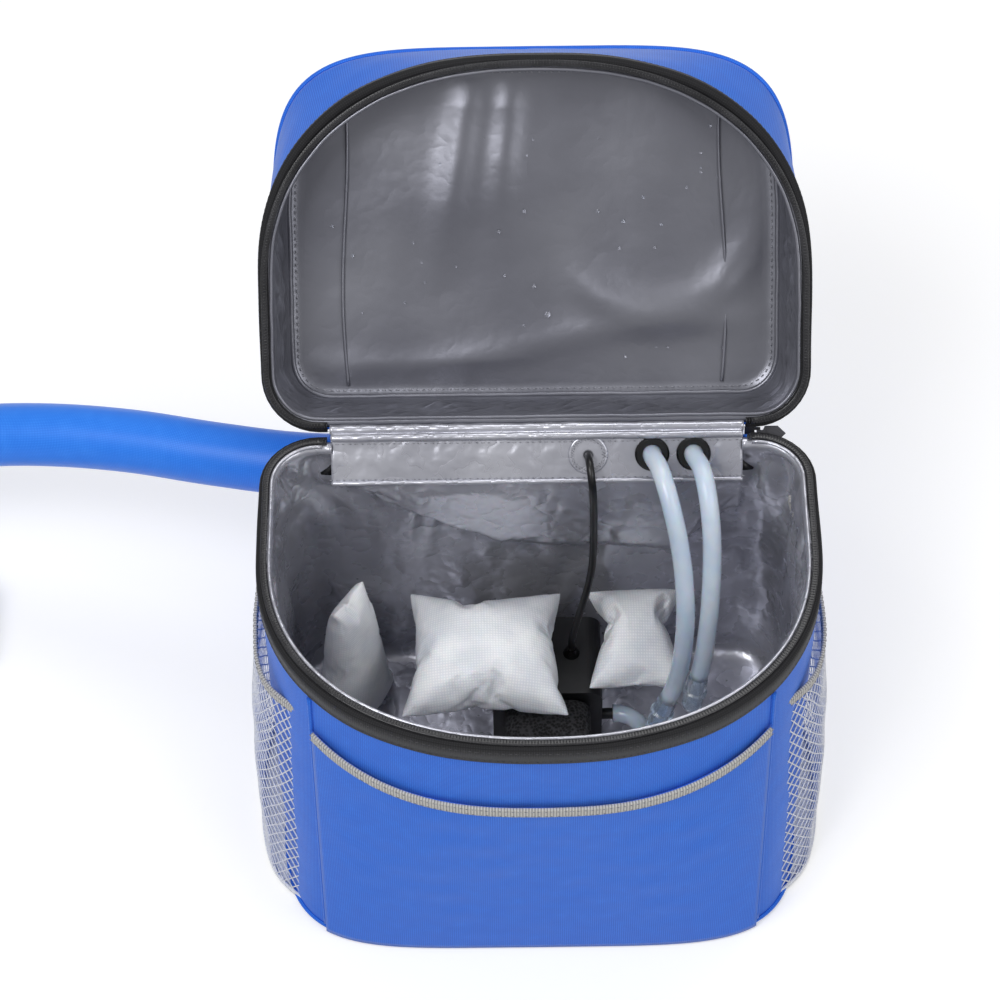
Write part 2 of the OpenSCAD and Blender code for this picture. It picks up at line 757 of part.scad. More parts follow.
module pump_housing() {
  color(ink) pump_frame() difference() {
    pump_block(cover_l, pump_back - pump_front - cover_l, 8);
    translate([0, cover_l - 1, 0]) rotate([-90, 0, 0]) cylinder(r = rotor_r + 1, h = rotor_l + 3);
    translate([0, cover_l, 0]) rotate([-90, 0, 0]) cylinder(r = shaft_r + shaft_fit, h = rotor_l + 7);
    translate([cable_gland_x - pump_x, cable_gland_y - pump_front, pump_h / 2 - 5])
      cylinder(r = gland_r + hole_fit, h = 10);
  }
}

module pump_cover() {
  color(ink) pump_frame() difference() {
    union() {
      pump_block(0, cover_l - face_gap, 8);
      translate([pump_w / 2 - 2, cover_l / 2, outlet_z - pump_mid_z]) rotate([0, 90, 0])
        cylinder(r = 3, h = outlet_x - pump_x - pump_w / 2 + 2);
      rotate([90, 0, 0]) cylinder(r = 12, h = 4);
    }
    translate([0, 2, 0]) rotate([-90, 0, 0]) cylinder(r = chamber_r, h = cover_l);
    for (a = [45 : 90 : 315]) rotate([0, a, 0]) translate([7, -5, 0]) rotate([-90, 0, 0])
      cylinder(r = 3, h = 10);
    translate([0, -1, 0]) rotate([-90, 0, 0]) cylinder(r = shaft_r + shaft_fit, h = 10);
    translate([0, cover_l / 2, outlet_z - pump_mid_z]) rotate([0, 90, 0]) cylinder(r = 2, h = 80);
  }
}

module impeller_shaft() {
  color("white") pump_frame() translate([0, -1, 0]) rotate([-90, 0, 0])
    cylinder(r = shaft_r, h = cover_l + rotor_l + 6);
}

module impeller() {
  blade_h = cover_l - 5;
  color("black") pump_frame() difference() {
    union() {
      translate([0, cover_l, 0]) rotate([-90, 0, 0]) cylinder(r = rotor_r, h = rotor_l);
      translate([0, cover_l - 2.2, 0]) rotate([-90, 0, 0]) cylinder(r = impeller_r - 1, h = 1.6);
      translate([0, 3, 0]) rotate([-90, 0, 0]) cylinder(r = 4, h = cover_l - 2);
      for (a = [0 : 60 : 300]) rotate([0, a, 0]) translate([0, 3, -0.7])
        cube([impeller_r, blade_h, 1.4]);
    }
    rotate([-90, 0, 0]) cylinder(r = shaft_r + running, h = 60);
  }
}

module suction_cups() {
  color("dimgray") for (x = [-20, 20], y = [9, 39])
    translate([pump_x + x, pump_front + y, floor_z + 0.1])
      rotate_extrude($fn = 32) polygon([[0, 2], [6, 0], [8, 0], [4, 3.2], [4, cup_h], [0, cup_h]]);
}

// Slotted inlet basket on the cover's spigot
module strainer() {
  r_out = 15;
  r_in = 12.3;
  depth = 16;
  color(ink) pump_frame() rotate([90, 0, 0]) difference() {
    translate([0, 0, 0.1]) cylinder(r = r_out, h = depth);
    translate([0, 0, -1]) cylinder(r = r_in, h = depth - 1);
    for (a = [0 : 30 : 330]) rotate([0, 0, a]) translate([r_in - 2, -1, 5]) cube([6, 2, 7]);
  }
}

module filter_sponge() {
  w = 46;
  h = 44;
  depth = 24;
  color("#2A2A2C") pump_frame() difference() {
    translate([0, -depth - 0.3, 0]) rounded_block(w, depth, h, 6);
    rotate([90, 0, 0]) translate([0, 0, -1]) cylinder(r = 15.3, h = 18);
  }
}

gland_r = 3.6;
gland_h = 10;
cable_gland_x = 18;
cable_gland_y = 47;
module cable_gland() {
  color(ink) translate([cable_gland_x, cable_gland_y, gland_top - gland_h]) rotate_extrude($fn = 32)
    polygon([[0, 0.1], [gland_r, 0.1], [gland_r, 5.2], [4.4, 5.2], [2.6, gland_h], [0, gland_h]]);
}

// ---------- ice packs ----------

// A sewn pack: crowned in the middle, its sides drawn in between the corners
module pack(w, l, t) {
  n = 10;
  seam = 0.5;
  draw = 0.07;
  us = [for (i = [0 : n]) sin(90 * (2 * i / n - 1))];
  function flat(u, v) = [w / 2 * u * (1 - draw * (1 - v * v)), l / 2 * v * (1 - draw * (1 - u * u))];
  function crown(u, v) = seam + (t / 2 - seam) * pow((1 - pow(u, 4)) * (1 - pow(v, 4)), 0.5);
  upper = [for (v = us, u = us) let (p = flat(u, v)) [p[0], p[1], crown(u, v)]];
  lower = [for (v = us, u = us) let (p = flat(u, v)) [p[0], p[1], -crown(u, v)]];
  m = n + 1;
  off = m * m;
  tops = [for (i = [0 : n - 1], j = [0 : n - 1]) let (a = i * m + j) each [[a, a + m, a + m + 1], [a, a + m + 1, a + 1]]];
  bases = [for (f = tops) [f[2] + off, f[1] + off, f[0] + off]];
  edge = concat([for (j = [0 : n - 1]) j], [for (i = [0 : n - 1]) i * m + n],
    [for (j = [n : -1 : 1]) n * m + j], [for (i = [n : -1 : 1]) i * m]);
  sides = [for (k = [0 : len(edge) - 1]) let (a = edge[k], b = edge[(k + 1) % len(edge)])
    each [[a, b, b + off], [a, b + off, a + off]]];
  polyhedron(points = concat(upper, lower), faces = concat(tops, bases, sides));
}

pack_seat = pump_low + pump_h + 0.4;
module ice_pack_left() {
  color(pack_white) translate([-98, 42, floor_z + 0.4 + 60]) rotate([90, 0, 56]) pack(72, 120, 30);
}

module ice_pack_centre() {
  t = 44;
  color(pack_white) translate([-28, 33, pack_seat + t / 2]) pack(88, 78, t);
}

module ice_pack_right() {
  color(pack_white) translate([52, 47, pack_seat + 12]) rotate([4, 0, 0]) pack(52, 60, 38);
}

module ice_pack_front_left() {
  color(pack_white) translate([-58, -38, floor_z + 0.4 + 43]) rotate([90, 0, 0]) pack(60, 86, 34);
}

module ice_pack_front_centre() {
  color(pack_white) translate([3, -38, floor_z + 0.4 + 40]) rotate([90, 0, 0]) pack(52, 80, 34);
}

// ---------- lid, drawn closed about its fold and then swung open ----------

lid_d = body_d + fold_out;
lid_low = coil_h + 0.3;
module lid_open_pose() {
  translate(fold) rotate([-lid_open, 0, 0]) children();
}

// The lid as a solid over its outline, back edge on the fold
module lid_loft(inset) {
  translate([0, -lid_d / 2, 0]) hull() {
    slice(plan(body_w, lid_d, rim_square, inset), 0);
    slice(plan(lid_top_w, lid_d, front_square, inset), lid_h - thin);
  }
}

module lid_band(z0, z1) {
  translate([-wide / 2, -wide, z0]) cube([wide, 2 * wide, z1 - z0]);
}

// One layer of the lid: wall between two insets, and a roof between two depths from the top
module lid_layer(outer, inner, roof_top, roof_low) {
  difference() {
    intersection() {
      lid_loft(outer);
      lid_band(lid_low, lid_h - roof_top);
    }
    intersection() {
      lid_loft(inner);
      lid_band(0, lid_h - roof_low);
    }
  }
}

module lid_top_panel() {
  color(blue) lid_open_pose() translate([0, -lid_d / 2, lid_h - fabric_t]) linear_extrude(fabric_t)
    polygon(plan(lid_top_w, lid_d, front_square, 0));
}

module lid_wall() {
  color(blue) lid_open_pose() lid_layer(0, fabric_t, fabric_t, 0);
}

module lid_foam() {
  color("whitesmoke") lid_open_pose()
    lid_layer(fabric_t, fabric_t + foam_t, fabric_t, fabric_t + foam_t);
}

module lid_lining() {
  color(lining_grey) lid_open_pose()
    lid_layer(fabric_t + foam_t, wall_t, fabric_t + foam_t, wall_t);
}

module lid_zip_tape() {
  color(ink) lid_open_pose() difference() {
    intersection() {
      difference() {
        lid_loft(-tape_t);
        lid_loft(-thin);
      }
      lid_band(lid_low, lid_low + tape_h);
    }
    translate([-zip_end_x, -lid_d / 2, -wide]) cube([2 * zip_end_x, wide, 2 * wide]);
  }
}

module lid_zip_coil() {
  color(ink) lid_open_pose() difference() {
    translate([0, -lid_d / 2, 0]) zip_ring(plan(body_w, lid_d, rim_square, coil_in),
      plan(body_w, lid_d, rim_square, coil_in + coil_w), 0.3, coil_h);
    translate([-zip_end_x, -lid_d / 2, -wide]) cube([2 * zip_end_x, wide, 2 * wide]);
  }
}

// ---------- zip slider and its pull ----------

slider_x = 106;
pull_hinge_x = 113;
pull_pin_r = 0.8;
slider_at = [0, back_y + 4.8, body_h - 6.2];
module slider_frame() {
  translate(slider_at) rotate([90 - strip_lean, 0, 0]) children();
}

// In the slider's frame X runs along the zip, Y up the strip and Z out of it
module zip_slider() {
  color("dimgray") slider_frame() {
    difference() {
      translate([slider_x, -3.6, -1.4]) cube([5, 7.2, 2.8]);
      translate([slider_x - 1, -1.2, -0.5]) cube([7, 2.4, 1]);
    }
    for (y = [-3.2, 2]) translate([slider_x + 4, y, -1.1]) difference() {
      cube([4, 1.2, 2.2]);
      translate([pull_hinge_x - slider_x - 4, -1, 1.1]) rotate([-90, 0, 0])
        cylinder(r = pull_pin_r + running, h = 4, $fn = 24);
    }
  }
}

module zip_pull() {
  tip = 14;
  color("#3A3A3E") slider_frame() translate([pull_hinge_x, 0, 0]) {
    rotate([90, 0, 0]) translate([0, 0, -3.1]) cylinder(r = pull_pin_r, h = 6.2, $fn = 24);
    translate([0, 0, -0.8]) linear_extrude(1.6)
      polygon([[-0.8, -1.7], [2.4, -1.7], [3.4, -3.8], [10, -3.8], [tip, 0], [10, 3.8], [3.4, 3.8], [2.4, 1.7], [-0.8, 1.7]]);
    translate([0, 0, -1.4]) linear_extrude(2.8)
      polygon([[4.4, -2.8], [9.4, -2.8], [tip - 2, 0], [9.4, 2.8], [4.4, 2.8]]);
  }
}

base_panel();
front_panel();
left_side_panel();
right_side_panel();
back_panel();
base_board();
body_foam();
body_lining();
front_pocket();
front_pocket_binding();
left_mesh_pocket();
right_mesh_pocket();
left_pocket_binding();
right_pocket_binding();
body_zip_tape();
body_zip_coil();
hinge_strip();
hinge_outer_flap();
zip_end_tabs();
supply_grommet();
return_grommet();
cable_patch();
power_cable();
supply_tube();
return_tube();
supply_connector();
return_nozzle();
pump_tube();
pump_housing();
pump_cover();
impeller();
impeller_shaft();
suction_cups();
strainer();
filter_sponge();
cable_gland();
ice_pack_left();
ice_pack_centre();
ice_pack_right();
ice_pack_front_left();
ice_pack_front_centre();
rear_tube_cover();
supply_turn();
return_turn();
inlet_lead();
power_inlet();
hose_collar();
hose_run();
hose_coil();
coupling_body();
release_button();
button_spring();
lid_top_panel();
lid_wall();
lid_foam();
lid_lining();
lid_zip_tape();
lid_zip_coil();
zip_slider();
zip_pull();
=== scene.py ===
import json
import math

import bmesh
import bpy
import numpy as np
from mathutils import Matrix, Vector

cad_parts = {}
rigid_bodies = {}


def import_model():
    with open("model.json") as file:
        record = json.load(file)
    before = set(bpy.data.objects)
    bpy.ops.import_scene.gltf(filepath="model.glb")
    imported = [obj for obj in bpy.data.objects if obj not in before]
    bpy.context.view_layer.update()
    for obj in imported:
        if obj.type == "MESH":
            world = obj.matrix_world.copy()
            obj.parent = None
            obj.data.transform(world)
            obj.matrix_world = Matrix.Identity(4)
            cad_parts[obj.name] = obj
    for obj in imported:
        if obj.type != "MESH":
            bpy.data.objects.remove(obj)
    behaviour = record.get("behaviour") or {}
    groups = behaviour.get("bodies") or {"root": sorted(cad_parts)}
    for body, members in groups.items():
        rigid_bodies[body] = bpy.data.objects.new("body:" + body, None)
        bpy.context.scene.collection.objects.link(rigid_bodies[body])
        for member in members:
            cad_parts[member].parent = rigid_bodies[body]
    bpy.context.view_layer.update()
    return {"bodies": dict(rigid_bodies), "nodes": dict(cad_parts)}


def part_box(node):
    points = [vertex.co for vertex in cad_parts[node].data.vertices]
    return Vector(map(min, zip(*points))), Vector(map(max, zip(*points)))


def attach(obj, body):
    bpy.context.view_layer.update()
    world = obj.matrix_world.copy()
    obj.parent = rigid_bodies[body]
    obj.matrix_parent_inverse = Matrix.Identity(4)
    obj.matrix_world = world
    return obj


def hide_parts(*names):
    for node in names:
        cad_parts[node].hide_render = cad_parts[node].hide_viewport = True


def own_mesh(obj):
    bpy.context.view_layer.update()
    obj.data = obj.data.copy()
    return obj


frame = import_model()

bl_info = {
    "name": "Insulated therapy bag",
    "version": (1, 0, 0),
    "blender": (4, 5, 0),
    "location": "3D View > Sidebar > Therapy Bag",
    "description": "Builds the soft goods, water lines and finishes of an insulated therapy bag",
    "category": "Add Mesh",
}

# ---------------------------------------------------------------- sizes, in mm, as in the CAD

HEIGHT, STRAIGHT, CORNER = 200.0, 70.0, 28.0
BODY_LOW, BODY_HIGH = (270.0, 184.0, 5.0), (278.0, 184.0, 2.25)
LID_DEPTH, LID_HEIGHT = 187.0, 55.0
LID_LOW, LID_HIGH = (278.0, 187.0, 2.25), (266.0, 187.0, 5.0)
WALL, SEAM_X, ZIP_END = 7.0, 113.0, 106.0
NOTCH_HALF, NOTCH_Z = 104.0, 178.0
FOLD = np.array([0.0, 95.0, 203.0])
LID_ANGLE = 132.0
UP_STRIP = np.array([0.0, 0.66913, 0.74314])
OUT_STRIP = np.array([0.0, -0.74314, 0.66913])
LINE_AT = np.array([0.0, 85.900, 192.893])
STRIP_TOP, STRIP_FOOT = np.array([0.0, 94.197, 202.108]), np.array([0.0, 76.80, 182.787])
SUPPLY_X, RETURN_X, CABLE_X = 58.5, 79.5, 26.0
POCKET_LOW, POCKET_RISE = 147.0, 19.0
NET_LOW = [(114.5, -75), (141.5, -46), (148, 20), (133, 78)]
NET_HIGH = [(114.5, -52), (140, -24.5), (144.5, 23), (130, 79)]
NET_Z, MOUTH_Z, BINDING = 2.2, 158.0, 7.0
LID_MATRIX = Matrix.Translation(Vector(FOLD / 1000)) @ Matrix.Rotation(math.radians(-LID_ANGLE), 4, "X")


def off_strip(x, s):
    """The point s mm in front of the hinge strip, on the axis of the line at x."""
    return (np.array([x, 0, 0]) + LINE_AT + s * OUT_STRIP).tolist()


SUPPLY = [off_strip(SUPPLY_X, 0), off_strip(SUPPLY_X, 9), (61.5, 68.5, 203.5), (64.5, 57.5, 201.5), (68, 46.5, 193),
          (71.2, 37, 180), (73.4, 27, 165.5), (74.4, 17.5, 149), (74, 11, 131), (72.4, 7.4, 113), (70.2, 5.8, 98),
          (67, 4.2, 87)]
RETURN = [off_strip(RETURN_X, 0), off_strip(RETURN_X, 9), (82.5, 68.5, 203.5), (84.6, 57.5, 201.5),
          (86.4, 46.5, 193), (87.4, 37, 180), (87.4, 28, 165), (86.8, 19.5, 149), (85.6, 13.5, 132),
          (84.2, 9.5, 117), (82.4, 7, 105)]


def onward(route, length):
    """The point that far straight on from a route's end."""
    a, b = np.array(route[-2], float), np.array(route[-1], float)
    return (b + length * (b - a) / np.linalg.norm(b - a)).tolist()


PUMP_TUBE = [onward(SUPPLY, 20), onward(SUPPLY, 22), (59.8, 1, 61.6), (58.4, 2, 55.6), (57.4, 5, 49.8),
             (56.8, 9.6, 44.4), (55.8, 15.2, 40), (53.4, 20.8, 37), (49.4, 25.4, 35.4), (44.6, 27.6, 35),
             (42, 28, 35), (40, 28, 35)]
CABLE = [off_strip(CABLE_X, 1), off_strip(CABLE_X, 3.5), (26.4, 78.4, 197.5), (26.9, 73.1, 196.8), (27.5, 69, 193.3),
         (28, 67.4, 188.1), (28.4, 67.4, 180), (28.8, 68.5, 168), (29.1, 69.6, 154), (29.3, 70, 140),
         (29.2, 69.2, 128), (28.6, 67, 117), (27, 63.5, 107), (24.4, 58.8, 98), (21.4, 53.5, 90), (18.9, 48.9, 82),
         (18, 47, 76), (18, 47, 70.72)]
HOSE_RUN = [(2, 117, 140), (-22, 117, 140), (-70, 117.5, 140), (-124, 121, 138), (-170, 131, 134.5),
            (-215, 144, 129), (-260, 155, 120.5), (-300, 163.5, 108.5), (-340, 170, 90), (-380, 174, 66.5),
            (-417, 175.7, 44), (-450, 176, 28.6), (-480, 176, 19.8), (-503, 176, 17), (-515, 176, 17)]
HOSE_COIL = [(-515 + 187 * math.cos(math.radians(a)), -11 + 187 * math.sin(math.radians(a)), 17)
             for a in range(100, 361, 10)] + [(-328, 25, 17), (-328, 61, 17)]
SUPPLY_BACK = [off_strip(SUPPLY_X, 0), off_strip(SUPPLY_X, -10), (57, 99.5, 180), (51.5, 106.5, 173),
               (43, 111.5, 166), (32, 114.5, 158), (20, 116, 151), (12, 117, 148.2), (6, 117, 147.6),
               (2, 117, 147.6)]
RETURN_BACK = [off_strip(RETURN_X, 0), off_strip(RETURN_X, -10), (78, 99.5, 180), (72.5, 106, 171.5),
               (63.5, 110.5, 161.5), (52, 113.5, 151), (38, 115.5, 141), (22, 116.6, 134.6), (12, 117, 132.9),
               (6, 117, 132.4), (2, 117, 132.4)]
INLET_BACK = [off_strip(CABLE_X, 1), off_strip(CABLE_X, -8), (27, 97.5, 178.5), (31, 99.5, 168), (38, 100.5, 154),
              (48, 101.5, 140), (60, 103, 129), (70, 106, 123.5), (77, 108, 122), (82, 108, 122)]
# name: (centre, turn in degrees, width, length, thickness, taper to the top)
PACKS = {
    "ice_pack_left": ((-98, 42, 68.9), (90, 0, 56), 72, 120, 30, 0.62),
    "ice_pack_centre": ((-28, 33, 88.1), (0, 0, 0), 88, 78, 44, 0.06),
    "ice_pack_right": ((52, 47, 78.1), (4, 0, 0), 52, 60, 38, 0.0),
    "ice_pack_front_left": ((-58, -38, 51.9), (90, 0, 0), 60, 86, 34, 0.0),
    "ice_pack_front_centre": ((3, -38, 48.9), (90, 0, 0), 52, 80, 34, 0.25),
}

# ---------------------------------------------------------------- small tools


def linear(colour):
    """An sRGB hex colour as the linear RGBA that a shader takes."""
    parts = [int(colour[i:i + 2], 16) / 255 for i in (1, 3, 5)]
    return tuple(c / 12.92 if c <= 0.04045 else ((c + 0.055) / 1.055) ** 2.4 for c in parts) + (1.0,)


def add(tree, kind, props=None, inputs=None):
    """Adds a node with its settings; an input takes a value or another node's output."""
    node = tree.nodes.new(kind)
    for key, value in (props or {}).items():
        setattr(node, key, value)
    for key, value in (inputs or {}).items():
        if isinstance(value, bpy.types.NodeSocket):
            tree.links.new(value, node.inputs[key])
        else:
            node.inputs[key].default_value = value
    return node


def half_outline(shape, inset):
    """Right half of a bag outline from the middle of the front to the end of the back corner."""
    width, depth, square = shape
    a, b, r = width / 2 - inset, depth - STRAIGHT - inset, CORNER - inset
    t = np.linspace(np.pi / 2, 0, 1200)
    front = np.c_[a * np.cos(t) ** (2 / square), depth / 2 - STRAIGHT - b * np.sin(t) ** (2 / square)]
    t = np.linspace(0, np.pi / 2, 50)
    corner = np.c_[a - r + r * np.cos(t), depth / 2 - inset - r + r * np.sin(t)]
    return np.vstack([front, corner])


def section(lid, z, inset, count=240):
    """The bag's or the closed lid's closed outline at height z, counter-clockwise from the front."""
    low, high, tall = (LID_LOW, LID_HIGH, LID_HEIGHT) if lid else (BODY_LOW, BODY_HIGH, HEIGHT)
    share = min(max(z / tall, 0), 1)
    turn = np.linspace(-np.pi / 2, np.pi / 2, 361)
    normal = np.c_[np.cos(turn), np.sin(turn)]
    a, b = half_outline(low, inset), half_outline(high, inset)
    half = (1 - share) * a[np.argmax(normal @ a.T, axis=1)] + share * b[np.argmax(normal @ b.T, axis=1)]
    half = np.vstack([half, [0, half[-1][1]]])
    run = np.r_[0, np.cumsum(np.linalg.norm(np.diff(half, axis=0), axis=1))]
    at = np.linspace(0, run[-1], count // 2 + 1)
    right = np.c_[np.interp(at, run, half[:, 0]), np.interp(at, run, half[:, 1])]
    loop = np.vstack([right, right[-2:0:-1] * [-1, 1]])
    if lid:
        loop[:, 1] -= LID_DEPTH / 2
    return np.c_[loop, np.full(len(loop), float(z))]


def outward(loop):
    """Unit vectors that point out of a closed outline, level."""
    along = np.roll(loop, -1, axis=0) - np.roll(loop, 1, axis=0)
    out = np.c_[along[:, 1], -along[:, 0], np.zeros(len(loop))]
    return out / np.linalg.norm(out, axis=1)[:, None]


def beside(path):
    """Level unit vectors across an open path, to the right of the way it runs."""
    along = np.gradient(path, axis=0)
    out = np.c_[along[:, 1], -along[:, 0], np.zeros(len(path))]
    return out / np.linalg.norm(out, axis=1)[:, None]


def upright(path):
    """One upward unit vector for each point of a path."""
    return np.tile([0, 0, 1.0], (len(path), 1))


def circle(radius, sides=8):
    """A circle as (across, up) pairs."""
    return [(radius * math.cos(a), radius * math.sin(a)) for a in np.linspace(0, 2 * np.pi, sides + 1)[:-1]]


def waves(u, v, size, seed, count=7):
    """A smooth wandering field of about -1 to 1, the same on every run."""
    pick = np.random.RandomState(seed)
    total = 0
    for _ in range(count):
        angle, phase = pick.uniform(0, np.pi), pick.uniform(0, 2 * np.pi)
        scale = size * pick.uniform(0.55, 1.6)
        total = total + np.sin(2 * np.pi * (u * np.cos(angle) + v * np.sin(angle)) / scale + phase)
    return total / count * 1.5


def creases(u, v, size, seed):
    """Sharp-edged folds: the ridges of two wandering fields."""
    warp = waves(u, v, size * 2.5, seed + 50) * size * 0.35
    return 1 - 2 * np.abs(waves(u + warp, v - warp, size, seed))


def smooth(route, step=4.0):
    """A rounded line through route's points, with a point about every step mm."""
    p = np.array(route, float)
    ends = np.vstack([2 * p[0] - p[1], p, 2 * p[-1] - p[-2]])
    line = []
    for i in range(len(p) - 1):
        a, b, c, d = ends[i:i + 4]
        parts = max(2, int(np.linalg.norm(c - b) / step))
        # centripetal knots keep the line from swinging out where the points stand unevenly
        k = np.cumsum([0] + [max(np.linalg.norm(q - r), 1e-6) ** 0.5 for q, r in ((b, a), (c, b), (d, c))])
        for t in np.linspace(k[1], k[2], parts, endpoint=False):
            ab, bc, cd = [(q * (h - t) + r * (t - g)) / (h - g)
                          for q, r, g, h in ((a, b, k[0], k[1]), (b, c, k[1], k[2]), (c, d, k[2], k[3]))]
            abc = (ab * (k[2] - t) + bc * (t - k[0])) / (k[2] - k[0])
            bcd = (bc * (k[3] - t) + cd * (t - k[1])) / (k[3] - k[1])
            line.append((abc * (k[2] - t) + bcd * (t - k[1])) / (k[2] - k[1]))
    return np.array(line + [p[-1]])


def piece(name, points, faces, finish, uvs=None, lid=False, flat=False):
    """A mesh object from points in mm; lid pieces are drawn closed and swung open here."""
    mesh = bpy.data.meshes.new(name)
    mesh.from_pydata((np.asarray(points, float) / 1000).tolist(), [], faces)
    if uvs is not None:
        layer = mesh.uv_layers.new(name="UVMap")
        layer.data.foreach_set("uv", (np.asarray(uvs, float) / 1000).ravel())
    mesh.materials.append(finish)
    if lid:
        mesh.transform(LID_MATRIX)
    mesh.update()
    if not flat:
        mesh.shade_smooth()
    obj = bpy.data.objects.new(name, mesh)
    bpy.context.scene.collection.objects.link(obj)
    return obj


def cloth(name, rows, finish, closed=False, flip=False, ends=False, lid=False):
    """A surface over a grid of points, with a UV map in metres along it."""
    grid = np.asarray(rows, float)
    count, wide = grid.shape[:2]
    loops = grid if not closed else np.concatenate([grid, grid[:, :1]], axis=1)
    middle = loops[count // 2]
    u = np.r_[0, np.cumsum(np.linalg.norm(np.diff(middle, axis=0), axis=1))]
    v = np.r_[0, np.cumsum(np.linalg.norm(np.diff(loops[:, 0], axis=0), axis=1))]
    faces, uvs = [], []
    for r in range(count - 1):
        for c in range(wide if closed else wide - 1):
            d = (c + 1) % wide
            ring = [(r * wide + c, u[c], v[r]), (r * wide + d, u[c + 1], v[r]),
                    ((r + 1) * wide + d, u[c + 1], v[r + 1]), ((r + 1) * wide + c, u[c], v[r + 1])]
            ring = ring[::-1] if flip else ring
            faces.append([q[0] for q in ring])
            uvs += [q[1:] for q in ring]
    if ends:
        for start, back in ((0, not flip), ((count - 1) * wide, flip)):
            cap = [start + c for c in range(wide)]
            faces.append(cap[::-1] if back else cap)
            uvs += [(0, 0)] * wide
    return piece(name, grid.reshape(-1, 3), faces, finish, uvs, lid)


def sweep(name, path, across, up, profile, finish, lid=False, closed=False):
    """A profile of (across, up) pairs carried along a path, its ends closed."""
    path, profile = np.asarray(path, float), np.asarray(profile, float)
    rows = path[:, None] + profile[None, :, :1] * across[:, None] + profile[None, :, 1:] * up[:, None]
    if closed:
        rows = np.concatenate([rows, rows[:1]])
    obj = cloth(name, rows, finish, closed=True, ends=not closed, lid=lid)
    weld(obj, True)
    return obj


def tube(name, line, radius, finish, sides=20, ends=True):
    """A round tube along a line in mm; radius may change along it."""
    line = np.asarray(line, float)
    run = np.gradient(line, axis=0)
    run /= np.linalg.norm(run, axis=1)[:, None]
    side = np.cross(run[0], [0.31, 0.17, 0.93])
    rows = []
    radii = np.broadcast_to(radius, len(line))
    turn = np.linspace(0, 2 * np.pi, sides, endpoint=False)
    for p, t, r in zip(line, run, radii):
        side = side - t * (side @ t)
        side /= np.linalg.norm(side)
        other = np.cross(t, side)
        rows.append(p + r * (np.cos(turn)[:, None] * side + np.sin(turn)[:, None] * other))
    obj = cloth(name, rows, finish, closed=True, ends=ends)
    weld(obj, True)
    return obj


def weld(obj, face_out=False):
    """Welds doubles, such as the ring of points at a pole; turns a closed piece's faces outwards."""
    bm = bmesh.new()
    bm.from_mesh(obj.data)
    bmesh.ops.remove_doubles(bm, verts=bm.verts, dist=1e-6)
    if face_out:
        bmesh.ops.recalc_face_normals(bm, faces=bm.faces)
    bm.to_mesh(obj.data)
    bm.free()


def solidify(obj, mm, offset=-1.0):
    wall = obj.modifiers.new("wall", "SOLIDIFY")
    wall.thickness, wall.offset, wall.use_even_offset = mm / 1000, offset, False
    return obj


def cut_notch(obj):
    """Opens the back wall above NOTCH_Z, where the hinge strip passes."""
    bm = bmesh.new()
    bm.from_mesh(obj.data)
    for at, normal in (((0, 0, NOTCH_Z), (0, 0, 1)), ((NOTCH_HALF, 0, 0), (1, 0, 0)),
                       ((-NOTCH_HALF, 0, 0), (1, 0, 0))):
        geometry = bm.verts[:] + bm.edges[:] + bm.faces[:]
        bmesh.ops.bisect_plane(bm, geom=geometry, plane_co=Vector(at) / 1000, plane_no=normal)
    gone = [f for f in bm.faces for c in [f.calc_center_median() * 1000]
            if abs(c.x) < NOTCH_HALF and c.y > 62 and c.z > NOTCH_Z]
    bmesh.ops.delete(bm, geom=gone, context="FACES")
    bm.to_mesh(obj.data)
    bm.free()


def rounded(width, height, r, parts=3):
    """A rounded rectangle as (across, up) pairs."""
    points = []
    for sx, sy, start in ((1, 1, 0), (-1, 1, 90), (-1, -1, 180), (1, -1, 270)):
        for i in range(parts + 1):
            a = math.radians(start + 90 * i / parts)
            points.append((sx * (width / 2 - r) + r * math.cos(a), sy * (height / 2 - r) + r * math.sin(a)))
    return points


def finished(obj, body, slot, *nodes):
    """Gives a piece its body and hides the CAD nodes that it stands for. The slot is not used."""
    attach(obj, body)
    if nodes:
        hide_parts(*nodes)
    return obj


# ---------------------------------------------------------------- Geometry Nodes


def repeat_tree():
    """Sets one small rounded shape after another along a path: stitches and zip teeth."""
    tree = bpy.data.node_groups.get("repeat_along_path")
    if tree:
        return tree
    tree = bpy.data.node_groups.new("repeat_along_path", "GeometryNodeTree")
    for name, kind in (("Geometry", "Geometry"), ("Spacing", "Float"), ("Size", "Vector"), ("Material", "Material")):
        tree.interface.new_socket(name, in_out="INPUT", socket_type="NodeSocket" + kind)
    tree.interface.new_socket("Geometry", in_out="OUTPUT", socket_type="NodeSocketGeometry")
    given = add(tree, "NodeGroupInput")
    curve = add(tree, "GeometryNodeMeshToCurve", inputs={0: given.outputs["Geometry"]})
    level = add(tree, "GeometryNodeSetCurveNormal", {"mode": "Z_UP"}, {0: curve.outputs[0]})
    points = add(tree, "GeometryNodeCurveToPoints", {"mode": "LENGTH"},
                 {"Curve": level.outputs[0], "Length": given.outputs["Spacing"]})
    bead = add(tree, "GeometryNodeMeshUVSphere", inputs={"Segments": 8, "Rings": 5, "Radius": 0.5})
    placed = add(tree, "GeometryNodeInstanceOnPoints", inputs={
        "Points": points.outputs["Points"], "Instance": bead.outputs["Mesh"],
        "Rotation": points.outputs["Rotation"], "Scale": given.outputs["Size"]})
    real = add(tree, "GeometryNodeRealizeInstances", inputs={0: placed.outputs[0]})
    soft = add(tree, "GeometryNodeSetShadeSmooth", inputs={0: real.outputs[0]})
    last = add(tree, "GeometryNodeSetMaterial", inputs={0: soft.outputs[0], "Material": given.outputs["Material"]})
    add(tree, "NodeGroupOutput", inputs={0: last.outputs[0]})
    return tree


